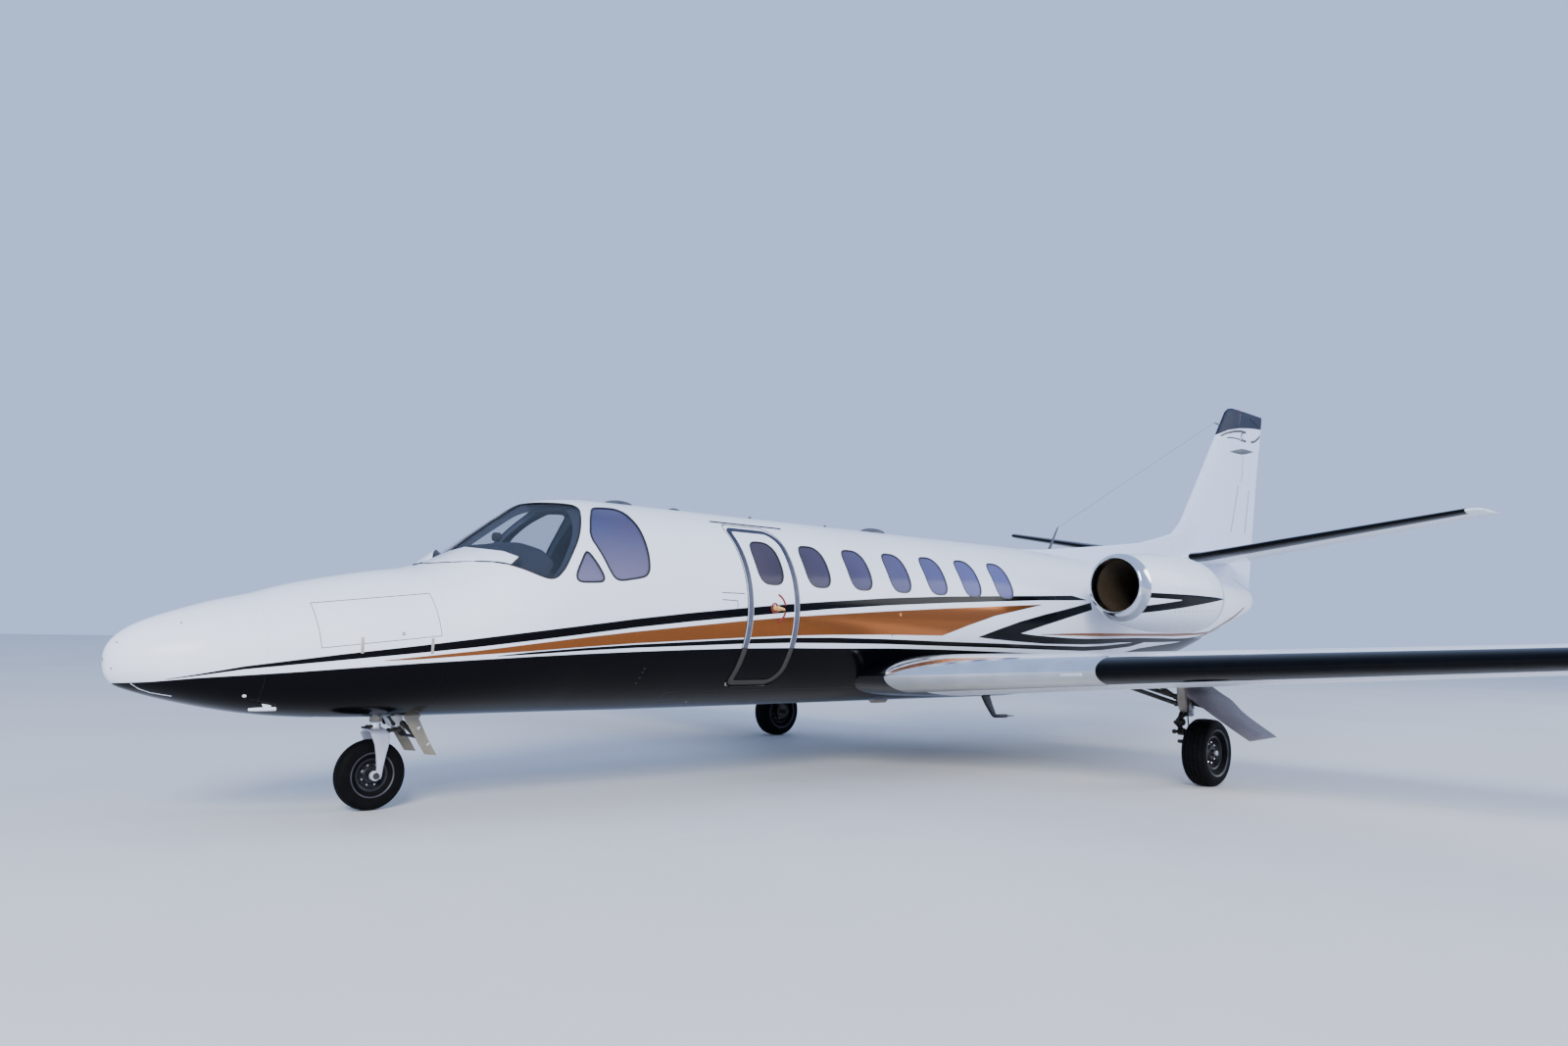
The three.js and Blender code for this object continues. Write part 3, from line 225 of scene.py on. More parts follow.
def edge_height(material, station, points):
    """The height of a stripe's edge at a station, from its measured points."""
    first, last = points[0][0], points[-1][0]
    share = add_node(material, "MapRange", {0: station, 1: first, 2: last}).outputs[0]
    made = add_node(material, "FloatCurve", {1: share})
    line = made.mapping.curves[0]
    for along, height in points[1:-1]:
        line.points.new((along - first) / (last - first), height / curve_height)
    line.points[0].location = (0, points[0][1] / curve_height)
    line.points[-1].location = (1, points[-1][1] / curve_height)
    for point in line.points:
        point.handle_type = "VECTOR"
    made.mapping.update()
    return maths(material, "MULTIPLY", made.outputs[0], curve_height)


def past(material, value, limit):
    """1 where a value is past a limit, with a sprayed edge that starts 3 mm before it."""
    over = maths(material, "SUBTRACT", value, limit)
    return maths(material, "MULTIPLY_ADD", over, 500, 1.5, clamp=True)


def between(material, value, low, high):
    return maths(material, "MINIMUM", past(material, value, low), past(material, high, value))


def stripe(material, station, z, upper, lower):
    """The band between a stripe's two edges, over the stations that the edges share."""
    band = between(material, z, edge_height(material, station, lower), edge_height(material, station, upper))
    first = max(upper[0][0], lower[0][0])
    last = min(upper[-1][0], lower[-1][0])
    return maths(material, "MINIMUM", band, between(material, station, first, last))


def any_of(material, *masks):
    made = masks[0]
    for mask in masks[1:]:
        made = maths(material, "MAXIMUM", made, mask)
    return made


white_paint = "#e9edf6"
black_paint = "#050508"
livery, livery_shader = new_material(  # clear gloss with a faint orange peel, metal flake in the copper
    "striped_gloss_paint", white_paint, Roughness=0.16, Specular_IOR_Level=0.08,
)
place, x, y, z = place_of(livery)
station = station_of(livery, x)
bolt = any_of(
    livery,
    maths(
        livery, "MINIMUM", between(livery, station, 7.014, 7.665),
        between(
            livery, z, edge_height(livery, station, limb_lower), edge_height(livery, station, bolt_upper)
        ),
    ),
    stripe(livery, station, z, bolt_upper, bolt_inner), stripe(livery, station, z, limb_upper, limb_lower),
)
black = any_of(
    livery, bolt,
    stripe(livery, station, z, main_upper, main_lower),
    stripe(livery, station, z, thin_upper, thin_lower),
    maths(
        livery, "MINIMUM", between(livery, station, 0.055, 12.6),
        past(livery, edge_height(livery, station, belly_upper), z),
    ),
)
copper = any_of(
    livery,
    stripe(livery, station, z, copper_upper, copper_lower),
    stripe(livery, station, z, pinstripe_upper, pinstripe_lower),
)
flake = spread(livery, noise(livery, place, 900, 2), 0, 1)
soil = spread(livery, noise(livery, place, 1.1, 4), 0, 1)
clean = mix(livery, soil, linear("#eef1f8"), linear("#e5e9f3"))
sprayed = mix(livery, flake, linear("#7f4722"), linear("#935a31"))
coated = mix(livery, copper, clean, sprayed)
link(livery, mix(livery, black, coated, linear(black_paint)), livery_shader.inputs["Base Color"])
link(livery, maths(livery, "MULTIPLY", copper, 0.6), livery_shader.inputs["Metallic"])
peel = noise(livery, place, 260, 2)
link(livery, spread(livery, peel, 0.12, 0.2), livery_shader.inputs["Roughness"])
ripple = add_node(livery, "Bump", {"Strength": 0.03, "Distance": 0.001, "Height": peel})
link(livery, ripple.outputs[0], livery_shader.inputs["Normal"])


# Fuselage: a riveted aluminium tube, nearly round, that narrows in the nose and the tail.
# Its sections give the half width, the widest height, the top and the bottom at each station,
# and how square the section is above and below.
sections = (
    (0.000, 0.004, 0.975, 0.979, 0.971, 2.00, 2.00),
    (0.006, 0.044, 0.974, 1.020, 0.926, 2.00, 2.00),
    (0.020, 0.075, 0.972, 1.062, 0.880, 2.00, 2.00),
    (0.060, 0.130, 0.970, 1.114, 0.832, 2.00, 2.00),
    (0.120, 0.185, 0.966, 1.163, 0.805, 2.00, 2.00),
    (0.250, 0.262, 0.966, 1.226, 0.762, 2.00, 2.00),
    (0.400, 0.325, 0.975, 1.278, 0.722, 2.00, 2.10),
    (0.550, 0.372, 0.985, 1.326, 0.688, 2.00, 2.20),
    (0.750, 0.425, 1.000, 1.375, 0.652, 2.00, 2.30),
    (1.000, 0.485, 1.020, 1.449, 0.624, 2.05, 2.35),
    (1.250, 0.543, 1.045, 1.505, 0.609, 2.05, 2.35),
    (1.500, 0.598, 1.075, 1.552, 0.604, 2.05, 2.30),
    (1.750, 0.645, 1.110, 1.592, 0.603, 2.10, 2.25),
    (2.000, 0.688, 1.160, 1.685, 0.602, 2.15, 2.20),
    (2.200, 0.718, 1.205, 1.828, 0.601, 2.10, 2.15),
    (2.400, 0.744, 1.250, 1.970, 0.600, 2.05, 2.10),
    (2.600, 0.766, 1.295, 2.094, 0.598, 2.00, 2.05),
    (2.800, 0.784, 1.335, 2.145, 0.597, 2.00, 2.00),
    (3.100, 0.800, 1.370, 2.170, 0.595, 2.00, 2.00),
    (3.600, 0.815, 1.382, 2.172, 0.592, 2.00, 2.00),
    (8.300, 0.815, 1.382, 2.172, 0.592, 2.00, 2.00),
    (9.000, 0.770, 1.400, 2.160, 0.650, 2.00, 2.00),
    (10.00, 0.665, 1.450, 2.140, 0.770, 2.00, 2.00),
    (11.00, 0.525, 1.510, 2.110, 0.915, 2.00, 2.00),
    (12.00, 0.390, 1.580, 2.085, 1.045, 2.00, 2.00),
    (13.00, 0.262, 1.670, 2.040, 1.300, 2.00, 2.00),
    (14.00, 0.135, 1.765, 1.968, 1.568, 2.00, 2.00),
    (14.24, 0.100, 1.790, 1.948, 1.634, 2.00, 2.00),
    (14.34, 0.062, 1.800, 1.905, 1.690, 2.00, 2.00),
)
hull_points = 96


def eased(table, key):
    """The table's other columns at a value of its first column, on one smooth curve with no overshoot."""
    i = 0
    while i < len(table) - 2 and table[i + 1][0] < key:
        i += 1
    gaps = [table[k + 1][0] - table[k][0] for k in range(len(table) - 1)]
    t = min(1, max(0, (key - table[i][0]) / gaps[i]))
    values = []
    for column in range(1, len(table[0])):
        near = range(max(0, i - 1), min(len(gaps), i + 2))
        rises = [(table[k + 1][column] - table[k][column]) / gaps[k] for k in near]
        here = rises[1] if i > 0 else rises[0]
        before = rises[0] if i > 0 else here
        after = rises[-1] if i < len(gaps) - 1 else here
        start = 0 if before * here <= 0 else 2 * before * here / (before + here)
        stop = 0 if here * after <= 0 else 2 * here * after / (here + after)
        if i == 0:
            start = here
        if i == len(gaps) - 1:
            stop = here
        a, b = table[i][column], table[i + 1][column]
        values.append(
            a * (2 * t ** 3 - 3 * t ** 2 + 1) + b * (3 * t ** 2 - 2 * t ** 3)
            + gaps[i] * (start * (t ** 3 - 2 * t ** 2 + t) + stop * (t ** 3 - t ** 2))
        )
    return values


def at(s, y, z):
    """A point from its station aft of the nose, its distance to port and its height."""
    return Vector((nose_tip - s, y, z))


def turns(count):
    """The angles of a full turn in equal steps."""
    return [2 * math.pi * k / count for k in range(count)]


def squared(value, power):
    """A sine or cosine that makes a round section squarer."""
    return math.copysign(abs(value) ** power, value)


def hull_ring(s, inset=0):
    wide, waist, top, bottom, upper, lower = eased(sections, s)
    ring = []
    for angle in turns(hull_points):
        rise = math.sin(angle)
        power = 2 / (upper if rise >= 0 else lower)
        height = (top - waist if rise >= 0 else waist - bottom) - inset
        y = max(wide - inset, 0.002) * squared(math.cos(angle), power)
        ring.append(at(s, y, waist + max(height, 0.002) * squared(rise, power)))
    return ring


def hull_half_width(s, z, inset=0):
    wide, waist, top, bottom, upper, lower = eased(sections, s)
    over = z > waist
    power = upper if over else lower
    share = min(1, abs(z - waist) / ((top - waist if over else waist - bottom) - inset))
    return (wide - inset) * (1 - share ** power) ** (1 / power)


def on_side(s, z, side=1, out=0):
    """A point on the fuselage's side, moved out by a distance."""
    return at(s, side * (hull_half_width(s, z) + out), z)


def select_only(*pieces):
    bpy.ops.object.select_all(action="DESELECT")
    for piece in pieces:
        piece.select_set(True)
    bpy.context.view_layer.objects.active = pieces[0]


def loft(name, rings, closed=True, ends=False):
    """A grid rolled through rows of points, its seams welded and its faces turned outwards."""
    bpy.ops.object.select_all(action="DESELECT")
    across = len(rings[0]) if closed else len(rings[0]) - 1
    bpy.ops.mesh.primitive_grid_add(x_subdivisions=len(rings) - 1, y_subdivisions=across, size=2)
    piece = bpy.context.object
    piece.name = piece.data.name = name
    for vertex in piece.data.vertices:
        ring = rings[round((vertex.co.x + 1) / 2 * (len(rings) - 1))]
        vertex.co = ring[round((vertex.co.y + 1) / 2 * across) % len(ring)]
    bpy.ops.object.mode_set(mode="EDIT")
    bpy.ops.mesh.select_all(action="SELECT")
    bpy.ops.mesh.remove_doubles(threshold=0.00002)
    if ends:
        bpy.ops.mesh.select_all(action="SELECT")
        bpy.ops.mesh.fill_holes(sides=0)
    bpy.ops.mesh.select_all(action="SELECT")
    bpy.ops.mesh.normals_make_consistent(inside=False)
    bpy.ops.object.mode_set(mode="OBJECT")
    bpy.ops.object.shade_smooth()
    return piece


def apply(piece, kind, **settings):
    """Adds a modifier with its settings and applies it."""
    select_only(piece)
    made = piece.modifiers.new(kind.lower(), kind)
    for name, value in settings.items():
        setattr(made, name, value)
    bpy.ops.object.modifier_apply(modifier=made.name)


def rounded_edges(piece, width, segments=2, sharper_than=25):
    """Rounds the edges that turn by more than an angle."""
    apply(piece, "BEVEL", width=width, segments=segments, limit_method="ANGLE",
          angle_limit=math.radians(sharper_than))


def carve(piece, cutter, operation="DIFFERENCE"):
    apply(piece, "BOOLEAN", object=cutter, operation=operation, solver="EXACT")
    bpy.data.objects.remove(cutter)


def prism(outline, near, far, name="prism"):
    """An outline of stations and heights carried across the aircraft between two distances to port."""
    return loft(name, [[at(s, y, z) for s, z in outline] for y in (near, far)], ends=True)


def finish(piece, material, body="airframe", replaces=(), slot="white_paint", angle=30):
    """Smooths a piece up to an angle, paints it, and puts it on its body."""
    select_only(piece)
    bpy.ops.object.shade_smooth_by_angle(angle=math.radians(angle))
    piece.data.materials.clear()
    piece.data.materials.append(material)
    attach(piece, body)
    if replaces:
        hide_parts(*replaces)
    return piece


def stations_between(first, last, step):
    count = max(1, math.ceil((last - first) / step))
    return [first + (last - first) * i / count for i in range(count + 1)]


nose_stations = (0.0015, 0.004, 0.008, 0.013, 0.02, 0.03, 0.042, 0.06, 0.085, 0.12, 0.16, 0.21, 0.27, 0.34)
up, down, port, starboard = (0, 0, 1), (0, 0, -1), (0, 1, 0), (0, -1, 0)
both_sides = ((1, "left"), (-1, "right"))
roof_split, belly_split = 2.075, 0.745
joint = 0.0003
radome_end, nose_end, cockpit_end, cabin_end, tail_start, tail_end = 0.75, 1.76, 3.62, 8.30, 8.34, 14.34
cabin_wall = 0.07


def hull_depth(point):
    """How far a point stands out of the fuselage's outside, about, and the way out there."""
    def level_at(x, y, z):
        wide, waist, top, bottom, upper, lower = eased(sections, min(14.34, max(0.0005, nose_tip - x)))
        over = z > waist
        power = upper if over else lower
        high = top - waist if over else waist - bottom
        return ((abs(y) / wide) ** power + (abs(z - waist) / high) ** power) ** (1 / power)
    x, y, z = point
    here = level_at(x, y, z)
    step = 0.0005
    slope = Vector((
        level_at(x + step, y, z) - level_at(x - step, y, z),
        level_at(x, y + step, z) - level_at(x, y - step, z),
        level_at(x, y, z + step) - level_at(x, y, z - step),
    )) / (2 * step)
    return (here - 1) / max(slope.length, 0.001), slope.normalized()


def paint_skin(piece, inside, edge=None):
    """Paints a skin's outside with the livery, and shades it as one smooth form across every joint."""
    piece.data.materials.clear()
    for material in (livery, inside, edge or inside):
        piece.data.materials.append(material)
    mesh = piece.data
    depths = [hull_depth(vertex.co) for vertex in mesh.vertices]
    normals = [Vector(corner.vector) for corner in mesh.corner_normals]
    for face in mesh.polygons:
        face.material_index = 0
        for corner in face.loop_indices:
            depth, way = depths[mesh.loops[corner].vertex_index]
            if abs(depth) <= 0.003 and way.dot(face.normal) >= 0.8:
                normals[corner] = way
            else:
                face.material_index = 1 if abs(way.dot(face.normal)) > 0.5 else 2
    mesh.normals_split_custom_set(normals)


def tube(name, stations, wall, inset=0):
    """A ring of the fuselage's skin between stations, closed inside and at its ends."""
    outer = [hull_ring(s, inset) for s in stations]
    inner = [hull_ring(s, inset + wall) for s in reversed(stations)]
    return loft(name, outer + inner + outer[:1])


def hull_solid(first, last, out):
    return loft("hull_solid", [hull_ring(s, -out) for s in stations_between(first, last, 0.1)], ends=True)


def trim(piece, point, normal):
    """Cuts away what lies on a plane's far side, and closes the cut."""
    select_only(piece)
    bpy.ops.object.mode_set(mode="EDIT")
    bpy.ops.mesh.select_all(action="SELECT")
    bpy.ops.mesh.bisect(plane_co=point, plane_no=normal, clear_outer=True, use_fill=True)
    bpy.ops.object.mode_set(mode="OBJECT")


white_gloss = worn_material(  # clear gloss with a faint orange peel
    "white_gloss_paint", white_paint, ("#e5e9f3", "#eef1f8"), (0.14, 0.24), (0.03, 0.001), 220,
    Roughness=0.18, Coat_Weight=0.6, Coat_Roughness=0.05,
)
lining = worn_material(  # warm grey and dull, with a fine grain
    "moulded_cabin_lining", "#cfc8bb", ("#c9c2b4", "#d5cfc3"), (0.5, 0.7), (0.2, 0.001), 160, Roughness=0.6,
)
primer = worn_material(  # dull green inside the skin
    "zinc_primer", "#8d9463", ("#868d5c", "#98a06d"), (0.5, 0.7), (0.2, 0.001), 90, Roughness=0.6,
)

sealant = worn_material(  # a soft sheen where it was smoothed by hand
    "black_sealant", "#111215", ("#0e0f11", "#17181c"), (0.35, 0.55), (0.3, 0.0005), 300, Roughness=0.45,
)


radome_middle = [at(0, 0, 0.975)] * hull_points
radome_back = [at(0.07, 0, 0.975)] * hull_points
radome_stations = stations_between(0.4, radome_end - joint, 0.05)
radome = loft(
    "glass_fibre_radome",
    [radome_middle] + [hull_ring(s) for s in nose_stations] + [hull_ring(s) for s in radome_stations]
    + [hull_ring(s, 0.03) for s in reversed([0.085, 0.12, 0.16, 0.21, 0.27, 0.34] + radome_stations)]
    + [radome_back],
)
finish(radome, livery, replaces=("radome",))
paint_skin(radome, primer)

# The bay doors in the nose open upwards on hinges along their top edges.
bay_hinge_front, bay_hinge_rear, bay_drop, swing_gap = (1.0, 0.35, 1.33), (1.7, 0.505, 1.415), 0.265, 0.008
nose_wall, bay_floor = 0.03, 1.04
well_start, well_end, well_half, well_top = 1.14, 1.696, 0.162, 0.974


def box_between(low, high):
    """A block between two corners."""
    bpy.ops.object.select_all(action="DESELECT")
    middle = [(a + b) / 2 for a, b in zip(low, high)]
    size = [b - a for a, b in zip(low, high)]
    bpy.ops.mesh.primitive_cube_add(size=1, location=middle, scale=size)
    block = bpy.context.object
    bpy.ops.object.transform_apply(location=True, rotation=True, scale=True)
    return block


def bay_block(side, margin):
    front = at(bay_hinge_front[0], side * bay_hinge_front[1], bay_hinge_front[2])
    rear = at(bay_hinge_rear[0], side * bay_hinge_rear[1], bay_hinge_rear[2])
    along = (rear - front).normalized()
    rise = (Vector(up) - along * along.z).normalized()
    start = front + along * (swing_gap - margin)
    stop = rear - along * (swing_gap - margin)
    top = -swing_gap + margin
    bottom = -swing_gap - bay_drop - margin
    rows = []
    for y in (side * 0.06, side * 0.9):
        corners = []
        for base, height in ((start, bottom), (stop, bottom), (stop, top), (start, top)):
            corner = base + rise * height
            corners.append(Vector((corner.x, y, corner.z)))
        rows.append(corners)
    return loft("bay_block", rows, ends=True)


nose_section = tube("nose_skin", stations_between(radome_end, nose_end - joint, 0.05), nose_wall)
well = box_between(
    (nose_tip - well_end, -well_half, 0), (nose_tip - well_start, well_half, well_top)
)
carve(nose_section, well)
for side, word in both_sides:
    carve(nose_section, bay_block(side, 0.004))
    door = tube(f"nose_bay_lid_{word}", stations_between(0.9, 1.73, 0.05), 0.026)
    carve(door, bay_block(side, 0), "INTERSECT")
    finish(door, livery, f"nose_bay_door_{word}", (f"nose_bay_door_{word}",))
    paint_skin(door, primer)
finish(nose_section, livery, replaces=("nose_section",))
paint_skin(nose_section, primer)
bay_liner = loft(
    "bay_liner",
    [hull_ring(s, 0.032) for s in stations_between(0.82, 1.74, 0.06)],
    ends=True,
)
trim(bay_liner, at(1.2, 0, bay_floor), down)
apply(bay_liner, "SOLIDIFY", thickness=0.004, offset=-1)
for side in (1, -1):
    carve(bay_liner, bay_block(side, 0))
finish(bay_liner, primer)

# The pressure cabin: the cockpit shell, two sides, a roof and a belly, with the tail behind it.
cockpit = tube("cockpit_skin", stations_between(nose_end, cockpit_end - joint, 0.05), cabin_wall)
cabin_stations = stations_between(cockpit_end, cabin_end - joint, 0.12)
cabin_sides = {}
for side, word in both_sides:
    wall = tube(f"cabin_wall_{word}", cabin_stations, cabin_wall)
    trim(wall, (0, 0, roof_split - joint), up)
    trim(wall, (0, 0, belly_split), down)
    trim(wall, (0, 0, 0), starboard if side > 0 else port)
    cabin_sides[word] = wall
roof = tube("roof_skin", cabin_stations, cabin_wall)
trim(roof, (0, 0, roof_split), down)
finish(roof, livery, replaces=("cabin_roof",))
paint_skin(roof, lining)
belly = tube("belly_skin", cabin_stations, cabin_wall)
trim(belly, (0, 0, belly_split - joint), up)
finish(belly, livery, replaces=("cabin_belly",))
paint_skin(belly, lining)

bulkhead = hull_solid(cabin_end, tail_start - joint, 0)
finish(bulkhead, livery, replaces=("rear_bulkhead",))
paint_skin(bulkhead, lining)

tail_back = [at(tail_end, 0, 1.8)] * hull_points
tail_inside = [at(13.3, 0, 1.72)] * hull_points
tail_stations = stations_between(tail_start, tail_end, 0.1)
tail = loft(
    "tail_skin",
    [tail_inside] + [hull_ring(s, 0.025) for s in reversed(tail_stations) if s < 13.3]
    + [hull_ring(s) for s in tail_stations] + [tail_back],
)
finish(tail, livery, replaces=("tail_section",))
paint_skin(tail, primer)


# Cockpit windows: a curved two-part windshield, and a side window and a small vent window each side,
# of thick stretched acrylic bedded in black sealant. The windshield's two halves meet at a centre post.
windshield = (
    (1.8, 1.612), (2.0, 1.632), (2.13, 1.634), (2.21, 1.622), (2.3, 1.59), (2.397, 1.547), (2.455, 1.531),
    (2.505, 1.545), (2.568, 1.608), (2.64, 1.714), (2.718, 1.823), (2.811, 1.975), (2.88, 2.075),
    (2.85, 2.104), (2.6, 2.108), (2.4, 2.02), (1.8, 1.7),
)
side_window = (
    (2.809, 1.85), (2.881, 1.98), (2.959, 2.065), (3.01, 2.09), (3.188, 2.098), (3.24, 2.07), (3.262, 1.958),
    (3.256, 1.837), (3.246, 1.728), (3.228, 1.628), (3.193, 1.586), (3.149, 1.572), (3.065, 1.557),
    (2.968, 1.541), (2.923, 1.56), (2.894, 1.618), (2.862, 1.713),
)
vent_window = (
    (2.738, 1.738), (2.765, 1.738), (2.821, 1.634), (2.851, 1.561), (2.835, 1.526), (2.658, 1.518),
    (2.633, 1.544), (2.649, 1.598),
)
centre_post = 0.028
pane_thick, pane_inset, pane_gap = 0.012, 0.005, 0.0005


def softened(outline, rounds=2):
    """An outline with its corners cut round."""
    for _ in range(rounds):
        made = []
        for i, (s, z) in enumerate(outline):
            t, w = outline[(i + 1) % len(outline)]
            made += [(s * 0.8 + t * 0.2, z * 0.8 + w * 0.2), (s * 0.2 + t * 0.8, z * 0.2 + w * 0.8)]
        outline = made
    return outline


def shrunk(outline, margin):
    """An outline moved in by a margin, or out by a negative one."""
    turning = sum(a[0] * b[1] - b[0] * a[1] for a, b in zip(outline, outline[1:] + outline[:1]))
    made = []
    for i, (s, z) in enumerate(outline):
        before, after = outline[i - 1], outline[(i + 1) % len(outline)]
        way = Vector((after[0] - before[0], after[1] - before[1])).normalized()
        inward = Vector((-way.y, way.x)) * (1 if turning > 0 else -1)
        made.append((s + inward.x * margin, z + inward.y * margin))
    return made


def crown_half(s, z):
    """The half width of the fuselage at a station and height, or nought above its top."""
    top = eased(sections, s)[2]
    return hull_half_width(s, z) if z < top else 0


def oval(centre, along, across, count, power=1, across_power=None):
    """A ring of points about a centre, with half its length and half its width as two vectors."""
    across_power = across_power or power
    return [centre + along * squared(math.cos(a), power) + across * squared(math.sin(a), across_power)
            for a in turns(count)]


def bead(name, path, wide, high, closed=True, sides=10, way=None):
    """A raised strip along points on the fuselage or on a surface that faces one way."""
    rings = []
    count = len(path)
    for i, place in enumerate(path):
        before = path[i - 1] if closed or i else place
        after = path[(i + 1) % count] if closed or i < count - 1 else place
        along = (after - before).normalized()
        out = way or hull_depth(place)[1]
        across = along.cross(out).normalized()
        rings.append(oval(place, across * (wide / 2), out * high, sides, 0.55))
    if closed:
        rings.append(rings[0])
    return loft(name, rings, ends=not closed)


def barrel(profile, start, stop, sides=32, name="turned_part"):
    """A turned piece along a line: each row of its profile gives a share of the length and a radius."""
    along = (stop - start).normalized()
    first = along.orthogonal().normalized()
    second = along.cross(first)
    rings = []
    for share, radius in profile:
        middle = start.lerp(stop, share)
        rings.append(oval(middle, first * max(radius, 0.000001), second * max(radius, 0.000001), sides))
    return loft(name, rings, ends=True)


def joined(name, *pieces):
    select_only(*pieces)
    bpy.ops.object.join()
    made = bpy.context.object
    made.name = made.data.name = name
    return made


def copied(piece, move):
    """A copy of a piece with a matrix applied to it."""
    select_only(piece)
    bpy.ops.object.duplicate(linked=False)
    copy = bpy.context.object
    copy.data.transform(move)
    return copy


def resampled(path, step):
    """Points at an even distance along a closed line."""
    path = list(path) + [path[0]]
    lengths = [0]
    for a, b in zip(path, path[1:]):
        lengths.append(lengths[-1] + (b - a).length)
    count = max(8, round(lengths[-1] / step))
    made = []
    i = 0
    for k in range(count):
        along = lengths[-1] * k / count
        while lengths[i + 1] < along:
            i += 1
        share = (along - lengths[i]) / max(lengths[i + 1] - lengths[i], 1e-9)
        made.append(path[i].lerp(path[i + 1], share))
    return made


def outline_on_skin(outline, side, near=0):
    """A side-view outline laid on the fuselage, no nearer to the middle than a distance."""
    made = []
    for s, z in resampled([Vector(point) for point in outline], 0.02):
        if crown_half(s, z) >= near:
            made.append(at(s, side * crown_half(s, z), z))
        else:
            made.append(at(s, side * near, top_at(s, near)))
    return resampled(made, 0.02)


def top_at(s, y):
    """The height of the fuselage's top at a distance from the middle."""
    wide, waist, top, bottom, upper, lower = eased(sections, s)
    return waist + (top - waist) * (1 - min(1, abs(y) / wide) ** upper) ** (1 / upper)


cockpit_pane = worn_material(  # nearly clear, with a sharp reflection
    "clear_acrylic", "#3a4450", ("#353e49", "#454f5b"), (0.02, 0.06), (0.02, 0.001), 3, Roughness=0.04,
    Alpha=0.14, IOR=1.49, Coat_Weight=0.3, Coat_Roughness=0.02,
)
side_pane, side_pane_shader = new_material(  # a metal coating: blue to mauve, hardly see-through, lighter at the foot as a painted reflection
    "coated_acrylic", "#4b4f70", Roughness=0.08, Alpha=0.85, IOR=1.49, Specular_IOR_Level=0.2,
)
tint = uneven(side_pane, side_pane_shader, ("#3a4872", "#494263"), (0.06, 0.1), (0.02, 0.001), 14)
# Lighter mauve towards the foot of the pane: a painted reflection.
rise = add_node(side_pane, "MapRange", {0: place_of(side_pane)[3], 1: 1.55, 2: 2.0}).outputs[0]
link(side_pane, mix(side_pane, rise, linear("#726d88"), tint), side_pane_shader.inputs["Base Color"])

cockpit_outlines = {"windshield": windshield, "side_window": side_window, "vent_window": vent_window}
for side, word in both_sides:
    for name, outline in cockpit_outlines.items():
        near = centre_post / 2 if name == "windshield" else 0.2
        shape = softened(outline)
        carve(cockpit, prism(shape, side * near, side * 1.2))
        pane = tube(f"{name}_{word}", stations_between(1.78, 3.4, 0.045), pane_thick, pane_inset)
        carve(
            pane, prism(shrunk(shape, pane_gap), side * (near + pane_gap), side * 1.2),
            "INTERSECT"
        )
        finish(pane, cockpit_pane if name == "windshield" or side < 0 else side_pane, slot="glass")
        if name == "vent_window" and side < 0:
            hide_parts("cockpit_glass")
        seal = bead(f"{name}_seal_{word}", outline_on_skin(shrunk(shape, 0.002), side, near), 0.014, 0.0035)
        finish(seal, sealant, slot="tyre")
finish(cockpit, livery, replaces=("cockpit_shell",))
dark_lining = worn_material(  # dark blue-grey and dull
    "dark_trim_panel", "#2c3042", ("#262a3a", "#34394c"), (0.58, 0.75), (0.15, 0.001), 160, Roughness=0.65,
)
paint_skin(cockpit, dark_lining, dark_lining)


# Cabin windows: tinted acrylic panes with rounded corners, each pressed against the skin from inside
# and edged by a thin dark seal.
window_stations = (4.93, 5.437, 5.944, 6.451, 6.958, 7.465)
window_half, window_height, window_middle, window_power = 0.136, 0.171, 1.75, 3.2


def rounded(s0, s1, z0, z1, corner, rear, steps=7):
    """A rectangle's outline with rounded corners, those behind with a radius of their own."""
    made = []
    for s, z, start, radius in ((s1 - rear, z1 - rear, 0, rear), (s0 + corner, z1 - corner, 90, corner),
                                (s0 + corner, z0 + corner, 180, corner), (s1 - rear, z0 + rear, 270, rear)):
        for k in range(steps + 1):
            angle = math.radians(start + 90 * k / steps)
            made.append((s + radius * math.cos(angle), z + radius * math.sin(angle)))
    return made


def window_outline(s):
    """A window's outline: an oval with flattened sides."""
    power = 2 / window_power
    return [
        (
            s + window_half * squared(math.cos(a), power),
            window_middle + window_height * squared(math.sin(a), power)
        )
        for a in turns(44)
    ]


cabin_pane, cabin_pane_shader = new_material(  # dark mauve, with a painted bluer reflection towards the tail
    "tinted_acrylic", "#454253", Roughness=0.15, Alpha=0.94, IOR=1.49, Specular_IOR_Level=0.06,
)
tint = uneven(cabin_pane, cabin_pane_shader, ("#3b3847", "#4a4453"), (0.12, 0.18), (0.02, 0.001), 26)
# Bluer towards the tail: a painted reflection that changes along the cabin.
station = station_of(cabin_pane, place_of(cabin_pane)[1])
aft_reflection_share = add_node(cabin_pane, "MapRange", {0: station, 1: 4.7, 2: 7.2}).outputs[0]
link(cabin_pane, mix(cabin_pane, aft_reflection_share, tint, linear("#5f6190")), cabin_pane_shader.inputs["Base Color"])

for side, word in both_sides:
    stations = window_stations if side > 0 else (4.4,) + window_stations
    for i, s in enumerate(stations):
        outline = window_outline(s)
        carve(cabin_sides[word], prism(outline, side * 0.2, side * 1.2))
        pane = tube(
            f"cabin_pane_{word}_{i + 1}", stations_between(s - 0.16, s + 0.16, 0.05), pane_thick, pane_inset
        )
        carve(pane, prism(shrunk(outline, pane_gap), side * 0.2, side * 1.2), "INTERSECT")
        finish(pane, cabin_pane, slot="glass")
        if i == 0:
            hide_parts(f"cabin_windows_{word}")
        seal = bead(f"cabin_window_seal_{word}_{i + 1}", outline_on_skin(outline, side), 0.014, 0.002)
        finish(seal, sealant, slot="tyre")


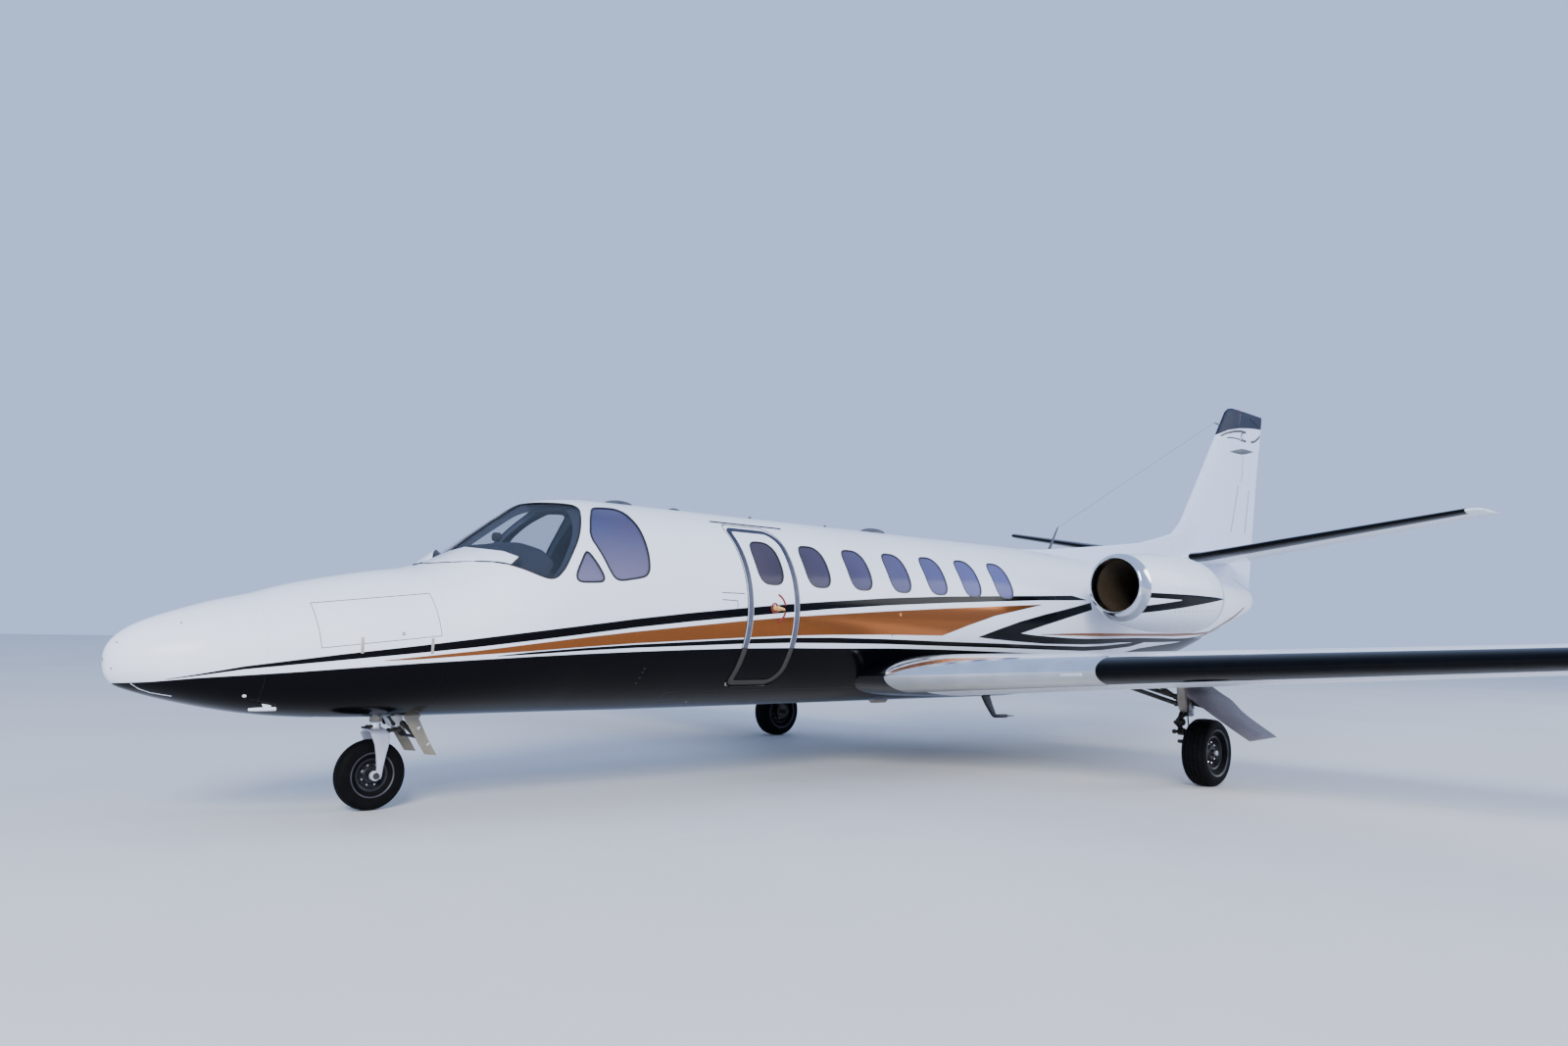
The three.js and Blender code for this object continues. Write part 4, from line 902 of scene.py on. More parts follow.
# Cabin door: a single piece of the port wall on hinges at its front edge, with its own window, a grey seal
# inside its edge that is navy at the top and brown at the foot, and a flush brass handle in a red ring.
door_front, door_rear, door_bottom, door_top = 4.125, 4.665, 0.785, 2.045
front_corner, rear_corner = 0.055, 0.14
hinge_s, hinge_y = 4.12, 0.84


def door_cutter(margin):
    """The door's own block: at each level its rear edge follows an arc about the hinge."""
    low, high = door_bottom - margin, door_top + margin
    steps = [rear_corner * (k / 9) ** 2 for k in range(10)]
    levels = [low + step for step in steps]
    levels += stations_between(low + rear_corner, high - rear_corner, 0.08)[1:-1]
    levels += [high - step for step in reversed(steps)]
    rows = []
    for z in levels:
        front_pull, rear_pull = (
            corner * (1 - math.sqrt(max(0, 1 - (max(0, low + corner - z, z - high + corner) / corner) ** 2)))
            for corner in (front_corner, rear_corner)
        )
        front = door_front - margin + front_pull
        reach = door_rear - rear_pull - hinge_s
        radius = math.hypot(reach, hinge_y - hull_half_width(4.4, z)) + margin
        row = [at(front, 1.1, z), at(hinge_s + radius, 1.1, z)]
        for k in range(11):
            angle = 0.12 * k
            row.append(at(hinge_s + radius * math.cos(angle), hinge_y - radius * math.sin(angle), z))
        row.append(at(front, hinge_y - radius * math.sin(1.2), z))
        rows.append(row)
    return loft("door_block", rows, ends=True)


carve(cabin_sides["left"], door_cutter(swing_gap))
door = tube("cabin_door_leaf", stations_between(4.0, 4.85, 0.05), cabin_wall)
trim(door, (0, 0, 0), starboard)
carve(door, door_cutter(0), "INTERSECT")
door_outline = window_outline(4.4)
carve(door, prism(door_outline, 0.2, 1.2))
finish(door, livery, "cabin_door", ("cabin_door",))
paint_skin(door, lining, sealant)
door_pane = tube("door_pane", stations_between(4.2, 4.6, 0.05), pane_thick, pane_inset)
carve(door_pane, prism(shrunk(door_outline, pane_gap), 0.2, 1.2), "INTERSECT")
finish(door_pane, cabin_pane, "cabin_door", ("door_window",), "glass")
seal = bead("door_window_seal", outline_on_skin(door_outline, 1), 0.012, 0.002)
finish(seal, sealant, "cabin_door", slot="tyre")
seal_change = 1.085
# Grey silicone, navy towards the top and brown at the foot, below the belly line.
seal_rubber, seal_shader = new_material("grey_door_seal", "#3f475c", Roughness=0.5)
tint = uneven(seal_rubber, seal_shader, ("#454858", "#535668"), (0.5, 0.65), (0.15, 0.0005), 240)
height = place_of(seal_rubber)[3]
rise = add_node(seal_rubber, "MapRange", {0: height, 1: 1.45, 2: 1.95}).outputs[0]
navy_top = mix(seal_rubber, rise, tint, linear("#1b2138"))
brown_foot = mix(seal_rubber, past(seal_rubber, seal_change, height), navy_top, linear("#2f2c27"))
link(seal_rubber, brown_foot, seal_shader.inputs["Base Color"])
edge_paint, edge_shader = new_material(  # white beside the seal, black on the belly
    "door_edge_paint", white_paint, Roughness=0.2, Specular_IOR_Level=0.08
)
tint = uneven(edge_paint, edge_shader, ("#e5e9f3", "#eef1f8"), (0.16, 0.26), (0.03, 0.001), 220)
below = past(edge_paint, seal_change, place_of(edge_paint)[3])
link(edge_paint, mix(edge_paint, below, tint, linear(black_paint)), edge_shader.inputs["Base Color"])
band_inset, band_width = 0.0275, 0.05


def door_line(inset):
    """A line round the door, inside its edge."""
    return outline_on_skin(
        rounded(door_front + inset, door_rear - inset, door_bottom + inset, door_top - 0.008 - inset,
                front_corner + 0.008 - inset * 0.8, rear_corner - inset * 0.8), 1,
    )


band = bead("cabin_door_seal", door_line(band_inset), band_width, 0.005)
finish(band, seal_rubber, "cabin_door", slot="tyre", angle=60)
edges = [bead("door_seal_edge", door_line(inset), 0.004, 0.002, sides=6)
         for inset in (band_inset - band_width / 2, band_inset + band_width / 2)]
finish(joined("door_seal_edges", *edges), edge_paint, "cabin_door", slot="white_paint", angle=60)
brass = worn_material(  # warm gold with a soft shine
    "anodised_brass", "#d9a35c", ("#cf9850", "#e8b974"), (0.28, 0.45), (0.05, 0.0005), 200, Metallic=0.6,
    Roughness=0.35,
)
red_paint = worn_material(  # dark red and flat
    "red_marking_paint", "#74100d", ("#6c0d0b", "#801512"), (0.35, 0.5), (0.05, 0.0005), 160, Roughness=0.4,
)
handle_s, handle_z = 4.40, 1.395


def on_door(s, z, out=0.0):
    place = on_side(s, z)
    return place + hull_depth(place)[1] * out


def arc_on_door(radius, start, stop, count=24):
    """Points on the door's skin on an arc about the handle."""
    angles = [math.radians(start + (stop - start) * k / count) for k in range(count + 1)]
    return [on_door(handle_s + radius * math.cos(a), handle_z + radius * math.sin(a)) for a in angles]


ring = bead("door_handle_ring", arc_on_door(0.036, 0, 345), 0.013, 0.004)
finish(ring, red_paint, "cabin_door", slot="tyre", angle=60)
cup = barrel(((0, 0.021), (0.75, 0.021), (1, 0.018)), on_door(handle_s, handle_z, -0.004),
             on_door(handle_s, handle_z, 0.005), 40)
lever = loft("door_handle_lever", [
    oval(on_door(handle_s + 0.015 + 0.009 * k, handle_z - 0.0008 * k) + Vector((0, 0.004, 0)),
         Vector((0, 0, half)), Vector((0, half * 0.3, 0)), 16)
    for k, half in ((0, 0.019), (1, 0.021), (3, 0.019), (6, 0.014), (9, 0.009), (10, 0.004))
], ends=True)
finish(joined("door_handle", cup, lever), brass, "cabin_door", slot="aluminium", angle=40)
arcs = [
    bead("door_arc", arc_on_door(0.115, start, start + 56), 0.02, 0.002, closed=False)
    for start in (12, 292)
]
finish(joined("door_arcs", *arcs), red_paint, "cabin_door", slot="tyre", angle=60)
placard_lines = (((3.867, 1.496), (4.091, 1.497)), ((3.869, 1.444), (4.018, 1.439), (4.018, 1.387)))
placards = []
for points in placard_lines:
    for (s, z), (t, w) in zip(points, points[1:]):
        placards.append(
            bead(
                "placard_line", [on_side(s + (t - s) * k / 4, z + (w - z) * k / 4) for k in range(5)],
                0.007, 0.0016, closed=False, sides=6
            )
        )
finish(joined("placard_lines", *placards), seal_rubber, slot="tyre", angle=60)
# The drip strip is grey seal rubber all over: a painted shadow standing for the shade under a white strip.
gutter = bead("door_drip_strip", [
    at(4.05 + 0.038 * k, 0.41, top_at(4.05, 0.41)) for k in range(21)
], 0.014, 0.008, closed=False)
finish(gutter, seal_rubber, slot="tyre", angle=50)
for word, wall in cabin_sides.items():
    finish(wall, livery, replaces=(f"cabin_side_{word}",))
    paint_skin(wall, lining, sealant)


# Wings: one low wing of riveted aluminium in two halves, its leading edge polished bare metal near the
# fuselage and a black rubber de-icing boot from there to the tip. Flap and aileron hang on the rear spar.
wing_rows = (
    (0.42, 5.56, 8.72, 0.838, 0.115), (0.9, 5.618, 8.69, 0.862, 0.12), (1.5, 5.96, 8.61, 0.9, 0.13),
    (2.05, 6.21, 8.54, 0.935, 0.135), (5.0, 6.45, 8.15, 1.12, 0.125), (7.7, 6.66, 7.79, 1.29, 0.115),
    (7.88, 6.74, 7.765, 1.301, 0.09), (7.95, 6.9, 7.74, 1.305, 0.05),
)
surface_start = 0.74
flap_span, aileron_span = (0.96, 4.78), (4.81, 7.56)


def foil(share, thickness, chord):
    """The half thickness of a wing section at a share of its chord, with a blunt rear edge."""
    root = 0.2969 * math.sqrt(share) - 0.126 * share - 0.3516 * share ** 2
    return 5 * thickness * (root + 0.2843 * share ** 3 - 0.1036 * share ** 4) * chord + 0.003 * share


def row_at(rows, key):
    """A row of a table at a value of its first column, on straight lines between its rows."""
    i = 0
    while i < len(rows) - 2 and rows[i + 1][0] < key:
        i += 1
    t = (key - rows[i][0]) / (rows[i + 1][0] - rows[i][0])
    return [a + (b - a) * t for a, b in zip(rows[i], rows[i + 1])]


chord_shares = [(1 - math.cos(math.pi * k / 26)) / 2 for k in range(27)]


def wing_solid(name, rows, side, margin=0):
    rings = []
    for y, front, rear, height, thickness in rows:
        chord = rear - front
        upper = []
        lower = []
        for share in chord_shares:
            half = foil(share, thickness, chord) + margin
            s = front - margin + share * (chord + 2 * margin)
            upper.append(at(s, side * y, height + half))
            lower.append(at(s, side * y, height - half))
        rings.append(upper + lower[:0:-1])
    return loft(name, rings, ends=True)


def hinge_point(rows, share, y, side):
    _, front, rear, height, thickness = row_at(rows, y)
    chord = rear - front
    return at(front + share * chord, side * y, height), foil(share, thickness, chord)


def behind_hinge(start, stop, margin=0, ahead=0):
    """A block behind a hinge line, its ends square to the line."""
    along = (stop - start).normalized()
    aft = Vector((-1, 0, 0))
    aft = (aft - along * aft.dot(along)).normalized()
    over = along.cross(aft)
    rows = []
    for base in (start - along * margin, stop + along * margin):
        rows.append(
            [
                base - aft * ahead - over, base + aft * 3 - over, base + aft * 3 + over,
                base - aft * ahead + over
            ]
        )
    return loft("hinge_block", rows, ends=True)


def hinge_nose(rows, share, span, side, margin=0):
    """The round nose that a control surface turns on."""
    low, low_half = hinge_point(rows, share, span[0], side)
    high, high_half = hinge_point(rows, share, span[1], side)
    beyond = (high - low).normalized() * margin
    return barrel(
        ((0, low_half + margin), (1, high_half + margin)), low - beyond, high + beyond
    )


def surface_block(rows, share, span, side, margin=0, ahead=0):
    low, high = (hinge_point(rows, share, y, side)[0] for y in span)
    return behind_hinge(low, high, margin, ahead)


def surface_of(name, rows, share, span, side, round_nose=True):
    """A control surface cut from its wing behind the hinge line."""
    surface = wing_solid(name, rows, side)
    carve(surface, surface_block(rows, share, span, side), "INTERSECT")
    if round_nose:
        carve(surface, hinge_nose(rows, share, span, side), "UNION")
    return surface


polished = worn_material(  # mirrors the sky and the floor
    "polished_aluminium", "#d6d9de", ("#cfd2d7", "#e0e3e8"), (0.08, 0.2), (0.02, 0.001), 60, Metallic=1.0,
    Roughness=0.14,
)
boot_rubber = worn_material(  # black rubber with a wet-looking dressing
    "boot_rubber", "#040508", ("#030407", "#06070a"), (0.12, 0.2), (0.04, 0.001), 160, Roughness=0.16,
    Specular_IOR_Level=0.1,
)


def edge_skin(name, rows, side, span, share, proud):
    """A thin skin round a leading edge, from one distance along the wing to another."""
    shares = [share * (k / 14) ** 2 for k in range(15)]
    levels = [span[0]] + [row[0] for row in rows if span[0] < row[0] < span[1]] + [span[1]]
    rings = []
    for y in levels:
        _, front, rear, height, thickness = row_at(rows, y)
        chord = rear - front
        row = []
        for rise, order in ((1, reversed(shares)), (-1, shares[1:])):
            for part in order:
                half = foil(part, thickness, chord) + proud * (1 - (part / share) ** 4 * 0.8)
                row.append(at(front - proud + part * chord, side * y, height + rise * half))
        rings.append(
            row + [at(front + 0.01 + share * chord, side * y, height + rise) for rise in (-0.001, 0.001)]
        )
    return loft(name, rings, ends=True)


wing_paint, wing_shader = new_material(  # the same white, black next to the belly
    "wing_gloss_paint", white_paint, Roughness=0.18, Specular_IOR_Level=0.4
)
clean = uneven(wing_paint, wing_shader, ("#e5e9f3", "#eef1f8"), (0.14, 0.24), (0.03, 0.001), 220)
root_side = past(wing_paint, 1.02, maths(wing_paint, "ABSOLUTE", place_of(wing_paint)[2]))
link(wing_paint, mix(wing_paint, root_side, clean, linear(black_paint)), wing_shader.inputs["Base Color"])

for side, word in both_sides:
    body = wing_solid(f"wing_skin_{word}", wing_rows, side)
    flap = surface_of(f"flap_skin_{word}", wing_rows, surface_start, flap_span, side, False)
    aileron = surface_of(f"aileron_skin_{word}", wing_rows, surface_start, aileron_span, side)
    carve(body, hull_solid(4.0, 10.0, joint))
    carve(body, surface_block(wing_rows, surface_start, flap_span, side, swing_gap, swing_gap))
    carve(body, surface_block(wing_rows, surface_start, aileron_span, side, swing_gap))
    carve(body, hinge_nose(wing_rows, surface_start, aileron_span, side, swing_gap))
    finish(body, wing_paint, replaces=(f"wing_{word}",), angle=50)
    finish(flap, white_gloss, f"flap_{word}", (f"flap_{word}",), angle=50)
    finish(aileron, white_gloss, f"aileron_{word}", (f"aileron_{word}",), angle=50)
    bright = edge_skin(f"polished_edge_{word}", wing_rows, side, (0.87, 2.5), 0.1, 0.0012)
    carve(bright, hull_solid(4.0, 10.0, joint))
    finish(bright, polished, slot="aluminium", angle=50)
    boot = edge_skin(f"wing_boot_{word}", wing_rows, side, (2.5, 7.66), 0.08, 0.003)
    finish(boot, boot_rubber, slot="tyre", angle=50)


# Tail: a tall swept fin that grows out of a long low dorsal fillet, with the tailplane set across it and
# a one-piece rudder behind. The tip of the fin is painted dark blue-grey, with a few dark strokes under it.
tail_rows = (
    (0, 12.28, 13.64, 2.3, 0.1), (0.3, 12.3, 13.64, 2.316, 0.1), (3.18, 13.06, 13.87, 2.792, 0.09),
    (3.26, 13.13, 13.86, 2.805, 0.07), (3.3, 13.26, 13.85, 2.81, 0.04),
)
elevator_start, elevator_span = 0.66, (0.33, 3.15)
fin_rows = (
    (1.7, 11.6, 14.346, 0.062), (1.962, 11.7, 14.352, 0.062), (2.339, 11.9, 14.42, 0.066),
    (2.801, 12.4, 14.5, 0.07), (3.716, 13.125, 14.683, 0.058), (4.44, 13.695, 14.86, 0.042),
    (4.5, 13.79, 14.868, 0.03), (4.524, 13.9, 14.86, 0.014),
)
fillet_rows = (
    (2.13, 8.64), (2.168, 8.64), (2.195, 9.153), (2.272, 9.947), (2.315, 10.371), (2.42, 11.3),
    (2.512, 11.762), (2.6, 12.13), (2.85, 12.5),
)
fillet_half, fillet_foot, fillet_top = 0.034, 2.13, 2.85
rudder_hinge_low, rudder_hinge_high = (13.93, 2.42), (14.44, 4.44)
rudder_bottom, rudder_top = 2.075, 4.43


def fin_half(s, z):
    """The fin's half thickness, with the fillet's rounded plate ahead of it."""
    _, front, rear, thick = row_at(fin_rows, z)
    share = (s - front) / (rear - front)
    half = foil(share, 1, thick / 0.5) if 0 < share <= 1 else 0
    if z < fillet_top:
        start = row_at(fillet_rows, max(z, fillet_foot))[1]
        into = max(0, min(1, (s - start) / 0.12))
        fade = max(0, min(1, (12.9 - s) / 0.4))
        half = max(half, fillet_half * math.sqrt(1 - (1 - into) ** 2) * fade)
    return half


def fin_front(z):
    front = row_at(fin_rows, z)[1]
    return min(front, row_at(fillet_rows, max(z, fillet_foot))[1]) if z < fillet_top else front


def fin_solid(name):
    levels = [
        1.72, 1.9, 2.05, 2.13, 2.15, 2.168, 2.18, 2.195, 2.23, 2.272, 2.315, 2.37, 2.42, 2.46, 2.512, 2.55
    ]
    levels += [2.6, 2.68, 2.76, 2.85, 3.0, 3.2, 3.45, 3.716, 4.0, 4.2, 4.44, 4.48, 4.5, 4.515, 4.524]
    rings = []
    for z in levels:
        front, rear = fin_front(z), row_at(fin_rows, z)[2]
        row = []
        for k in range(61):
            s = front + (1 - math.cos(math.pi * k / 60)) / 2 * (rear - front)
            row.append((s, max(fin_half(s, z), 0.0004)))
        rings.append([at(s, half, z) for s, half in row] + [at(s, -half, z) for s, half in row[::-1]])
    return loft(name, rings, ends=True)


def rudder_line(z):
    t = (z - rudder_hinge_low[1]) / (rudder_hinge_high[1] - rudder_hinge_low[1])
    return at(rudder_hinge_low[0] + t * (rudder_hinge_high[0] - rudder_hinge_low[0]), 0, z)


def rudder_nose(margin):
    levels = (rudder_bottom, 2.801, 3.716, rudder_top)
    beyond = (rudder_line(rudder_top) - rudder_line(rudder_bottom)).normalized() * margin
    places = [rudder_line(z) for z in levels]
    places[0] -= beyond
    places[-1] += beyond
    along = (places[-1] - places[0]).normalized()
    first = along.orthogonal().normalized()
    second = along.cross(first)
    rings = []
    for place, z in zip(places, levels):
        radius = fin_half(nose_tip - rudder_line(z).x, z) + margin
        rings.append(oval(place, first * radius, second * radius, 32))
    return loft("rudder_nose", rings, ends=True)


tip_paint = "#262b3c"
fin_paint, fin_shader = new_material(  # a duller white, tinted bluer as painted sky light, blue-grey at the tip
    "fin_gloss_paint", white_paint, Roughness=0.38, Specular_IOR_Level=0.05,
)
place, x, y, z = place_of(fin_paint)
station = station_of(fin_paint, x)
# The white is tinted bluer than the fuselage's: painted sky light on the fin.
clean = uneven(fin_paint, fin_shader, ("#d3dcf2", "#dde4f6"), (0.34, 0.46), (0.03, 0.001), 220)
tip_edge = ((13.4, 4.075), (13.7, 4.18), (14.04, 4.25), (14.4, 4.30), (14.9, 4.35))
curve_base = 2.6
edge_line = edge_height(fin_paint, station, tuple((s, h - curve_base) for s, h in tip_edge))
dark = past(fin_paint, maths(fin_paint, "SUBTRACT", z, curve_base), edge_line)
link(fin_paint, mix(fin_paint, dark, clean, linear(tip_paint)), fin_shader.inputs["Base Color"])

fin = fin_solid("fin_skin")
rudder = fin_solid("rudder_skin")
carve(rudder, behind_hinge(rudder_line(rudder_bottom), rudder_line(rudder_top)), "INTERSECT")
carve(rudder, rudder_nose(0), "UNION")
carve(fin, behind_hinge(rudder_line(rudder_bottom), rudder_line(rudder_top), swing_gap, swing_gap))
carve(fin, rudder_nose(swing_gap))
carve(fin, hull_solid(8.4, 14.34, joint))
finish(fin, fin_paint, replaces=("fin",), angle=50)
finish(rudder, fin_paint, "rudder", ("rudder",), angle=50)

# Painted lines on the fin and the rudder.
def on_fin(s, z, side, out=0.0):
    return at(s, side * (fin_half(s, z) + out), z)


def line_on_fin(points, side, step=0.04):
    made = []
    for (s, z), (t, w) in zip(points, points[1:]):
        count = max(1, round(math.hypot(t - s, w - z) / step))
        made += [on_fin(s + (t - s) * k / count, z + (w - z) * k / count, side, 0.001) for k in range(count)]
    return made + [on_fin(*points[-1], side, 0.001)]


ink = worn_material(  # near black with a soft gloss
    "black_line_paint", "#15161b", ("#111217", "#1b1c22"), (0.25, 0.4), (0.03, 0.0005), 160, Roughness=0.3,
)
fin_strokes = (
    ("fin", ((13.5, 4.07), (13.64, 4.125), (13.89, 4.185), (14.1, 4.215), (14.27, 4.218)), 0.032),
    ("fin", ((13.66, 4.065), (13.84, 4.085), (14.04, 4.09), (14.14, 4.07)), 0.018),
    (
        "fin", ((14.2, 4.215), (14.13, 4.18), (14.1, 4.144), (14.129, 4.101), (14.2, 4.085), (14.27, 4.09)),
        0.032
    ),
    ("rudder", ((14.45, 4.1), (14.6, 4.135), (14.735, 4.2), (14.79, 4.245)), 0.032),
    ("fin", ((14.095, 4.465), (14.07, 4.38), (14.04, 4.30)), 0.014),
    ("fin", ((14.15, 3.86), (14.124, 3.608), (14.091, 3.48)), 0.008),
    ("fin", ((13.983, 3.424), (13.86, 3.09), (13.719, 2.734)), 0.011),
    ("rudder", ((14.365, 3.385), (14.28, 3.05), (14.21, 2.75)), 0.012),
)
for side, word in both_sides:
    strokes = {"fin": [], "rudder": []}
    for owner, points, wide in fin_strokes:
        strokes[owner].append(
            bead("stroke", line_on_fin(points, side), wide, 0.0016, False, 6, Vector((0, side, 0)))
        )
    for owner, made in strokes.items():
        finish(
            joined(f"{owner}_tip_lines_{word}", *made), ink, "rudder" if owner == "rudder" else "airframe",
            slot="black_paint", angle=60
        )

mirrored_rows = tuple((-row[0], *row[1:]) for row in tail_rows[:0:-1])
tailplane = wing_solid("tailplane_skin", mirrored_rows + tail_rows, 1)
for side, word in both_sides:
    carve(tailplane, surface_block(tail_rows, elevator_start, elevator_span, side, swing_gap))
    carve(tailplane, hinge_nose(tail_rows, elevator_start, elevator_span, side, swing_gap))
    elevator = surface_of(f"elevator_skin_{word}", tail_rows, elevator_start, elevator_span, side)
    finish(elevator, white_gloss, f"elevator_{word}", (f"elevator_{word}",), angle=50)
    boot = edge_skin(f"tailplane_boot_{word}", tail_rows, side, (0.16, 3.16), 0.17, 0.003)
    finish(boot, boot_rubber, slot="tyre", angle=50)
finish(tailplane, white_gloss, replaces=("tailplane",), angle=50)


# Engines: a short oval nacelle on a stub pylon each side of the tail, with a polished intake lip,
# a duct dark with painted shade, a fan with a spun aluminium spinner, and a bare metal nozzle behind.
engine_y, engine_z = 1.335, 1.70
nacelle_outside = (
    (8.5, 1.749, 0.278, 0.276), (8.505, 1.7488, 0.289, 0.286), (8.512, 1.748, 0.296, 0.292),
    (8.53, 1.746, 0.308, 0.303), (8.56, 1.741, 0.323, 0.316), (8.65, 1.722, 0.344, 0.336),
    (8.9, 1.708, 0.38, 0.374), (9.25, 1.7, 0.405, 0.4), (9.7, 1.696, 0.407, 0.402),
    (9.95, 1.688, 0.392, 0.386), (10.08, 1.681, 0.366, 0.36), (10.2, 1.676, 0.318, 0.312),
    (10.3, 1.674, 0.262, 0.258),
)
nacelle_duct = (
    (8.5, 1.749, 0.272, 0.27), (8.51, 1.7488, 0.267, 0.266), (8.53, 1.748, 0.263, 0.261),
    (8.65, 1.74, 0.258, 0.258), (9.05, 1.703, 0.266, 0.266), (9.33, 1.7, 0.27, 0.27),
)
lip_end = 8.62


def pod_ring(table, s, side, out=0):
    middle, high, wide = eased(table, s)
    return [at(s, side * engine_y + (wide + out) * math.cos(a), middle + (high + out) * math.sin(a))
            for a in turns(72)]


def turned_about(name, profile, side):
    """A piece turned about the engine's axis from a closed outline of stations and radii."""
    rings = [[at(s, side * engine_y + r * math.cos(a), engine_z + r * math.sin(a)) for s, r in profile]
             for a in turns(64)]
    return loft(name, rings + rings[:1])


nacelle_paint, nacelle_shader = new_material(  # white with a black arrow, a seam and a row of screws
    "nacelle_gloss_paint", white_paint, Roughness=0.18, Specular_IOR_Level=0.1,
)
clean = uneven(nacelle_paint, nacelle_shader, ("#e5e9f3", "#eef1f8"), (0.14, 0.24), (0.03, 0.001), 220)
place, x, y, z = place_of(nacelle_paint)
station = station_of(nacelle_paint, x)
outboard = past(nacelle_paint, maths(nacelle_paint, "ABSOLUTE", y), engine_y + 0.05)
arrow_top = ((8.6, 1.672), (9.4, 1.675), (9.85, 1.67), (10.06, 1.662))
arrow_bottom = ((8.6, 1.475), (9.2, 1.548), (9.75, 1.62), (10.06, 1.661))
inner_top = ((8.6, 1.622), (9.12, 1.618))
inner_bottom = ((8.6, 1.548), (9.12, 1.616))
arrow = stripe(nacelle_paint, station, z, arrow_top, arrow_bottom)
inner = stripe(nacelle_paint, station, z, inner_top, inner_bottom)
arrow = maths(nacelle_paint, "MINIMUM", maths(nacelle_paint, "SUBTRACT", arrow, inner, clamp=True), outboard)
seam = between(nacelle_paint, station, 10.068, 10.086)
row_of_screws = add_node(nacelle_paint, "Math", {0: maths(nacelle_paint, "MULTIPLY", station, 12.5)},
                         operation="FRACT").outputs[0]
across = maths(nacelle_paint, "MULTIPLY", maths(nacelle_paint, "SUBTRACT", row_of_screws, 0.5), 0.08)
rise = maths(nacelle_paint, "SUBTRACT", z, maths(nacelle_paint, "MULTIPLY_ADD", station, 0.045, 1.09))
reach = maths(nacelle_paint, "SQRT", maths(nacelle_paint, "ADD", maths(nacelle_paint, "POWER", across, 2.0),
                                        maths(nacelle_paint, "POWER", rise, 2.0)))
screws = maths(nacelle_paint, "MINIMUM", past(nacelle_paint, 0.005, reach),
               between(nacelle_paint, station, 9.05, 9.95))
marked = mix(nacelle_paint, maths(nacelle_paint, "MAXIMUM", seam, screws), clean, linear("#5a5d66"))
link(
    nacelle_paint, mix(nacelle_paint, arrow, marked, linear(black_paint)),
    nacelle_shader.inputs["Base Color"]
)

duct_metal = worn_material(  # dark brown: painted shade inside the duct
    "shaded_duct_brown", "#4b4034", ("#423829", "#574b3d"), (0.4, 0.6), (0.1, 0.001), 50, Metallic=0.3,
    Roughness=0.5,
)
nozzle_metal = worn_material(  # straw-brown from heat
    "heat_stained_steel", "#8a8177", ("#7b7064", "#9a9289"), (0.28, 0.45), (0.05, 0.001), 40, Metallic=1.0,
    Roughness=0.35,
)
fan_metal = worn_material(  # dark grey with a satin shine
    "titanium_blades", "#6e7176", ("#63666b", "#7b7e84"), (0.3, 0.42), (0.03, 0.001), 60, Metallic=1.0,
    Roughness=0.35,
)
spinner_metal = worn_material(  # pale and softly bright
    "spun_aluminium", "#c3c6cc", ("#b9bcc2", "#cdd0d6"), (0.22, 0.34), (0.03, 0.001), 90, Metallic=1.0,
    Roughness=0.28,
)

